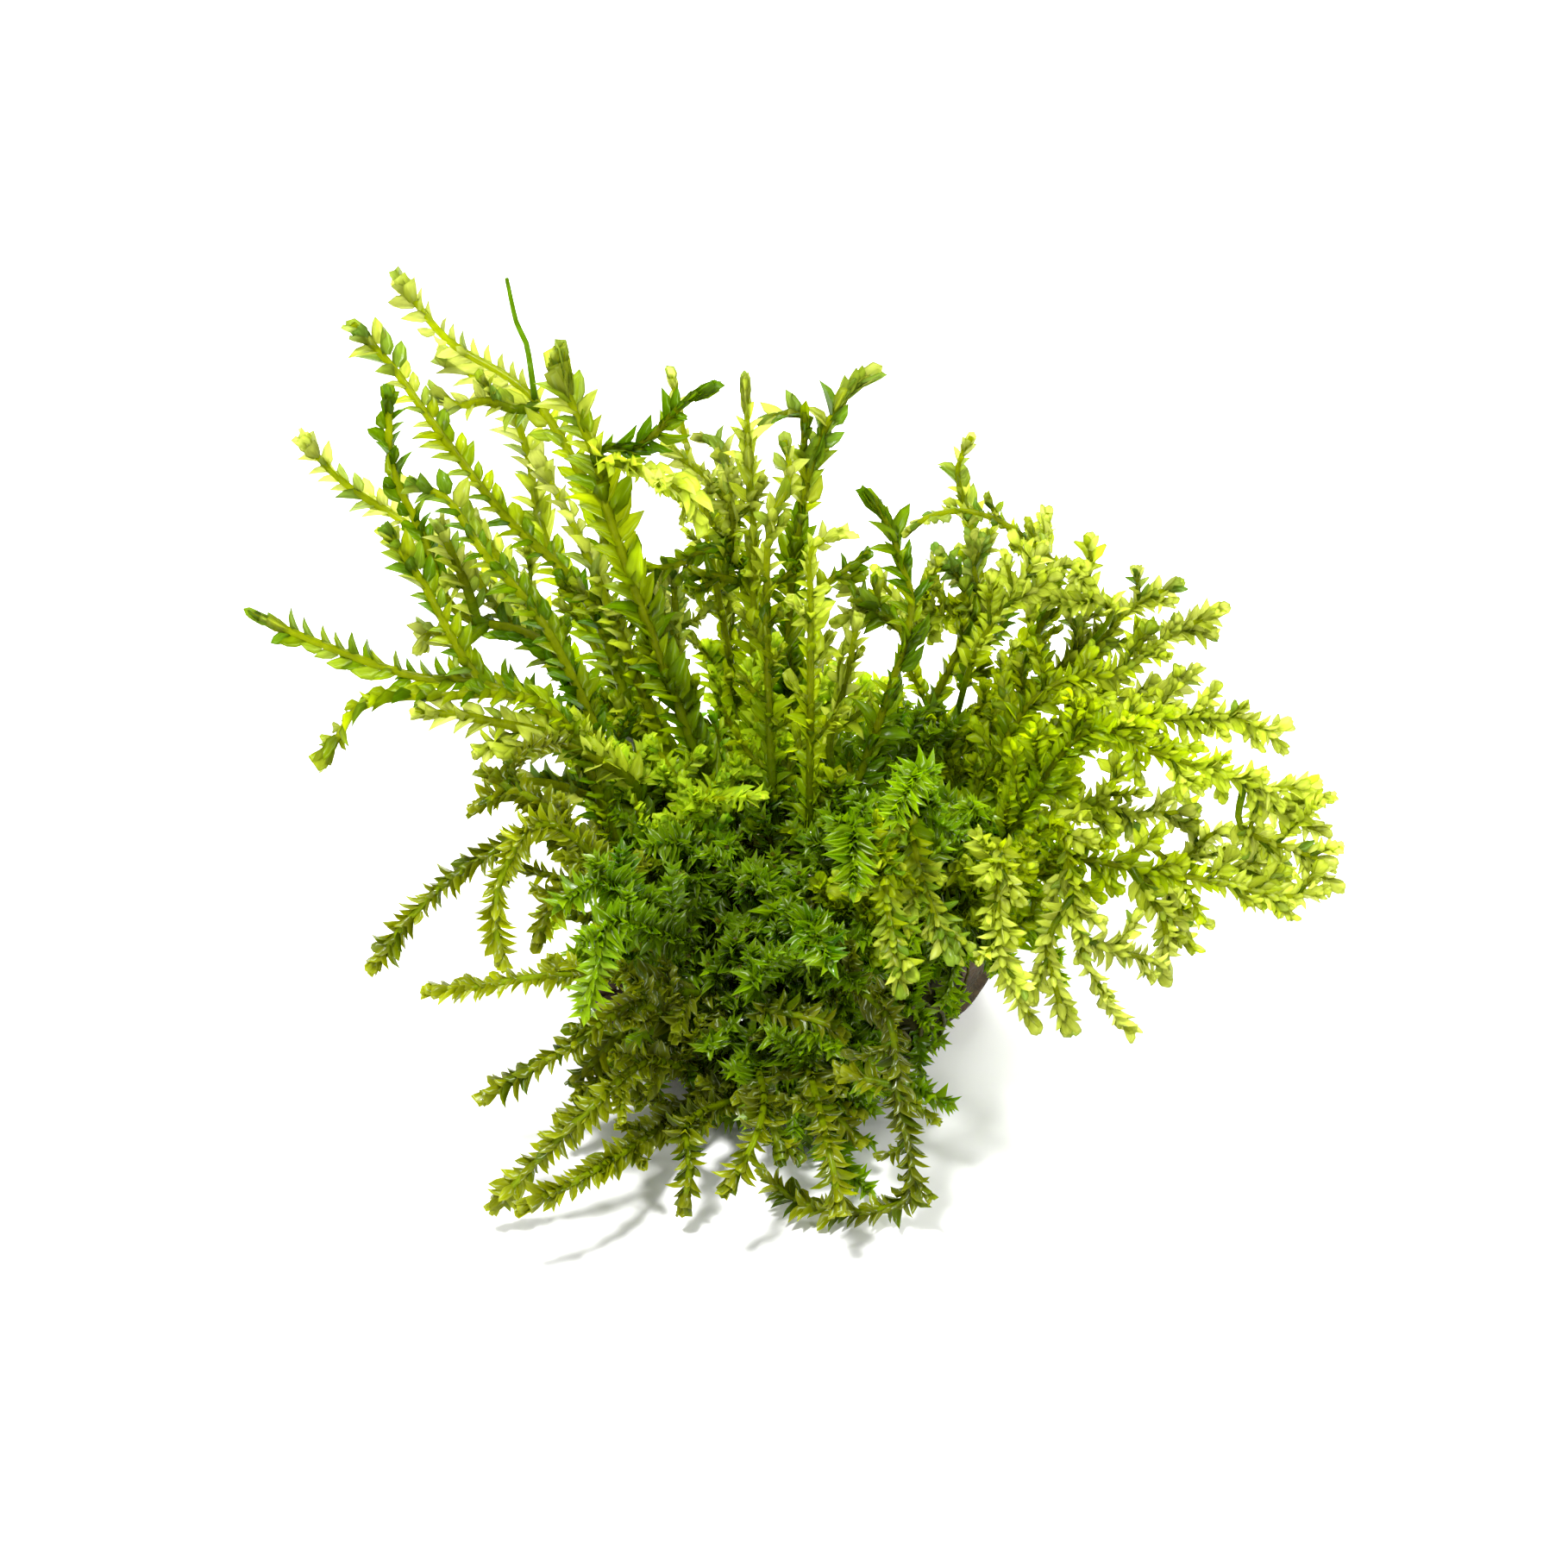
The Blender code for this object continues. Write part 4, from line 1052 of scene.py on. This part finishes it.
def makeDriftwood():
    bm = bmesh.new()
    bmesh.ops.create_cone(bm, cap_ends=True, segments=wood["sides"], radius1=1, radius2=1, depth=2)
    ends = [face for face in bm.faces if len(face.verts) > 4]
    risers = [edge for edge in bm.edges if abs(edge.verts[0].co.z - edge.verts[1].co.z) > 1]
    for inset in (0.3, 0.3, 0.25):
        bmesh.ops.inset_region(bm, faces=ends, thickness=inset)
    bmesh.ops.subdivide_edges(bm, edges=risers, cuts=wood["rings"], use_grid_fill=False)
    for vert in bm.verts:
        along, angle = vert.co.z, math.atan2(vert.co.y, vert.co.x)
        share = math.hypot(vert.co.x, vert.co.y)
        fibre, split = woodNoise(along, angle, 5, 9), woodNoise(along, angle, 1.6, 4, 7)
        worn = wood["grain"] * (0.5 - fibre) + wood["crack"] * max(0, split - 0.25)
        for place in wood["splits"]:
            aside = abs(math.remainder(angle - place - wood["splitWave"] * math.sin(3 * along), math.tau))
            inward = max(0, abs(along) - wood["splitFrom"] - 0.04 * place)
            worn += wood["splitDepth"] * max(0, 1 - aside / wood["splitWidth"]) * inward / 0.3
        radius = max(0, woodRadius(along, angle) - worn) * share
        dome = (1 - share ** 2) * 0.06 * (1 if along > 0 else -1) if abs(along) > 0.999 else 0
        vert.co = woodPoint(along * 0.985 + dome * 0.25, angle, radius)
    geometry = bm.verts[:] + bm.edges[:] + bm.faces[:]
    cut = bmesh.ops.bisect_plane(bm, geom=geometry, plane_co=(0, 0, 0), plane_no=(0, 0, 1), clear_inner=True)
    rim = [edge for edge in cut["geom_cut"] if isinstance(edge, bmesh.types.BMEdge)]
    bmesh.ops.contextual_create(bm, geom=rim)
    bmesh.ops.recalc_face_normals(bm, faces=bm.faces)
    piece = finishPiece("driftwood_chip", [meshFrom(bm, "chip")], woodMaterial(),
                        ["driftwood"])
    piece.data.set_sharp_from_angle(angle=math.radians(50))


makeDriftwood()


# mat: the tangle of old stems over the wood

tangle = {
    "seed": 21,
    "strands": 120,
    "strandSteps": (16, 44),
    "strandRadius": (0.1, 0.2),
    "strandRise": (-0.45, 1.3),      # radians, where a strand starts
    "strandShare": (0.98, 1.05),     # share of the dome that it starts at
    "shareStray": 0.008,
    "turnStep": 0.05,                # radians round the dome from point to point
    "keptTurn": 0.8,
    "turnStray": 0.14,
    "lowest": 0.8 * mm,              # a strand ends when it would run lower
    "fewest": 7,                     # points of the shortest strand
    "lump": 0.5,
    "lumpScales": (900, 2100),       # large and small lumps, per metre
    "subdivisions": 2,
    "lowestSkin": 0.36 * mm,
}


def matMaterial():
    material, nodes, shader = newMaterial("mossTangle")
    coords = nodes.new("ShaderNodeTexCoord").outputs["Object"]
    fibres, clumps = noiseOn(coords, 1500, 4, 1.5), noiseOn(coords, 350)
    body = mixed(times(minus(fibres, 0.35), 3, True), (0.006, 0.008, 0.001, 1), (0.03, 0.04, 0.004, 1))
    body = mixed(times(clumps, 0.6), body, (0.025, 0.017, 0.005, 1))
    feed(shader, {"Base Color": body, "Roughness": 0.8, "Specular IOR Level": 0.05})
    addBump(shader, fibres, 0.5, 0.3 * mm)
    return material


def makeMatBase():
    # The solid's own dome, made finer and lumpy; the hollow for the wood stays as it is
    bm = bmesh.new()
    bm.from_mesh(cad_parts["moss_mat"].data)
    bmesh.ops.remove_doubles(bm, verts=bm.verts[:], dist=1e-6)
    for _ in range(tangle["subdivisions"]):
        bmesh.ops.subdivide_edges(bm, edges=bm.edges[:], cuts=1)
        bmesh.ops.triangulate(bm, faces=bm.faces[:])
    bm.normal_update()
    for vert in bm.verts:
        if matShare(vert.co) > mat["buried"] and vert.co.z > 0.5 * mm:
            large, small = (noise.noise(vert.co * scale) for scale in tangle["lumpScales"])
            vert.co = vert.co + vert.normal * (large + 0.5 * small - 0.4) * tangle["lump"] * mm
            vert.co.z = max(vert.co.z, tangle["lowestSkin"])
    finishPiece("moss_mat_base", [meshFrom(bm, "dome")], matMaterial(), ["moss_mat"])


def domePoint(turn, rise, share):
    # A point on the mat, by its heading and its height angle from the centre, and the way out there
    way = Vector((math.cos(turn) * math.cos(rise), math.sin(turn) * math.cos(rise), math.sin(rise)))
    point = mat["centre"] + Vector(part * radius * share for part, radius in zip(way, mat["radii"]))
    out = Vector(part / radius for part, radius in zip(way, mat["radii"])).normalized()
    return point, out


def matStrands(rng):
    # Bare old stems that wind over the mat
    strands = []
    for _ in range(tangle["strands"]):
        turn, rise = rng.uniform(-math.pi, math.pi), rng.uniform(*tangle["strandRise"])
        heading, path = rng.uniform(0, math.tau), []
        share, drift = rng.uniform(*tangle["strandShare"]), 0
        for _ in range(rng.randint(*tangle["strandSteps"])):
            drift = drift * tangle["keptTurn"] + rng.gauss(0, tangle["turnStray"])
            heading += drift
            turn += tangle["turnStep"] * math.cos(heading) / max(0.25, math.cos(rise))
            rise += tangle["turnStep"] * math.sin(heading)
            share += rng.gauss(0, tangle["shareStray"])
            point = domePoint(turn, rise, share)[0]
            if point.z < tangle["lowest"] or insideWood(point, 0):
                break
            path.append(point)
        if len(path) >= tangle["fewest"]:
            radius = rng.uniform(*tangle["strandRadius"])
            strands.append((smoothPath(path[::3] + [path[-1]]), radius, radius * 0.7))
    return strands


# short moss on the mat: where it stands (turn and rise in degrees), how long it is, the way it sets
# off (pull) and the way it bends (lean)

carpet = {
    "seed": 31, "count": 230, "turn": (-180, 180), "rise": (-28, 88), "length": (2.4, 4.8),
    "pull": Vector((0, 0, 0.25)), "stray": 0.4, "lean": Vector((0, 0, 0.3)), "wander": 0.04,
    "vigour": 0.85, "fade": 14, "tone": 4.5,
    "kind": dict(coreKind, leafLength=1.2, between=0.9, stem=0.2),
}
crownThicket = {
    "seed": 32, "count": 36, "turn": (80, 205), "rise": (22, 85), "length": (6, 13),
    "pull": Vector((0, 0.1, 0.45)), "stray": 0.35, "lean": Vector((0, 0, 0.3)), "wander": 0.03,
    "vigour": 1.05, "fade": 18, "tone": 6.0,
    "kind": dict(frond, leafLength=1.05, leafWidth=0.5, pitch=0.54, spread=48, between=0.7, stem=0.22,
                 budLength=1.5, tipWidth=1.15, roll=(20, 85), flatness=0.7, branchPitch=1.8,
                 branchFrom=0.2, branchTo=0.85, branchLength=(1.8, 4.2), branchAngle=48, branchLift=0.6,
                 branchKind=dict(twig, leaf="short", leafLength=0.9, leafWidth=0.48)),
}
sideThicket = {
    "seed": 34, "count": 36, "turn": (-75, 82), "rise": (16, 78), "length": (6, 12),
    "pull": Vector((0.1, -0.1, 0.3)), "stray": 0.35, "lean": Vector((0, 0, 0.1)), "wander": 0.03,
    "vigour": 1.1, "fade": 16, "tone": 5.3,
    "kind": dict(coreKind, leafLength=1.2, leafWidth=0.46, pitch=0.4, branchPitch=1.9, branchFrom=0.2,
                 branchTo=0.85, branchLength=(1.8, 4.2), branchAngle=48, branchLift=0.6,
                 branchKind=coreTwig),
}
frontThicket = {
    "seed": 33, "count": 50, "turn": (-175, -42), "rise": (-22, 70), "length": (5.5, 11.5),
    "pull": Vector((0, -0.2, -0.05)), "stray": 0.35, "lean": Vector((0, -0.1, -0.25)), "wander": 0.04,
    "vigour": 0.86, "fade": 15, "tone": 5.3,
    "kind": dict(coreKind, leafLength=1.25, leafWidth=0.48, pitch=0.36, roll=(0, 50), branchPitch=2.8,
                 branchFrom=0.25, branchTo=0.75, branchLength=(1.6, 3.8), branchAngle=48,
                 branchLift=0.5, branchKind=coreTwig),
}
thinCorner = {               # low on the right, where the moss is shorter
    "beyond": 8.2 * mm,
    "below": 7.5 * mm,
    "turn": 1.1,             # radians
    "shrink": 0.4,
}


def coverShoots(cover):
    # Shoots that stand on the mat, spread evenly over the part of the dome that the settings give
    rng = random.Random(cover["seed"])
    shoots, made, tries = [], 0, 0
    lowSine, highSine = (math.sin(math.radians(angle)) for angle in cover["rise"])
    while made < cover["count"] and tries < cover["count"] * 8:
        tries += 1
        turn = math.radians(rng.uniform(*cover["turn"]))
        rise = math.asin(rng.uniform(lowSine, highSine))
        point, out = domePoint(turn, rise, mat["rootShare"])
        thin = (point.x > thinCorner["beyond"] and point.z < thinCorner["below"]
                and abs(turn) < thinCorner["turn"])
        if point.z < mat["lowestRoot"] or insideWood(point, mat["woodRoom"]):
            continue
        made += 1
        stray = Vector([rng.gauss(0, 1) for _ in range(3)]) * cover["stray"]
        heading = (out + cover["pull"] + stray).normalized()
        length = rng.uniform(*cover["length"]) * (thinCorner["shrink"] if thin else 1)
        path = growPath(point, heading, length, cover["lean"], cover["wander"], rng)
        facing = out if rng.random() < 0.5 else front
        if abs(facing.dot(heading)) > 0.92:
            facing = Vector((0, 0, 1))
        shoots.append(makeShoot(path, cover["kind"], facing, rng, rng.uniform(-0.5, 0.5),
                                rng.uniform(-0.8, 0.8), 0, cover["vigour"] * rng.uniform(0.8, 1.1),
                                cover["fade"], cover["tone"] + rng.gauss(0, 1.1)))
    if "branchPitch" in cover["kind"]:
        for shoot in list(shoots):
            shoots += sideTwigs(shoot, rng)
    return shoots, rng


makeMatBase()
strands = matStrands(random.Random(tangle["seed"]))
for name, cover, material, slot, bareStems in (
        ("moss_carpet", carpet, oldMoss, "old_moss", strands),
        ("crown_thicket", crownThicket, crownMossPaintedLight, "bright_moss", ()),
        ("side_thicket", sideThicket, coreMossPaintedShade, "deep_moss", ()),
        ("front_thicket", frontThicket, coreMossPaintedShade, "deep_moss", ())):
    shoots, rng = coverShoots(cover)
    mossPiece(name, shoots, rng, material, bareStems=bareStems)
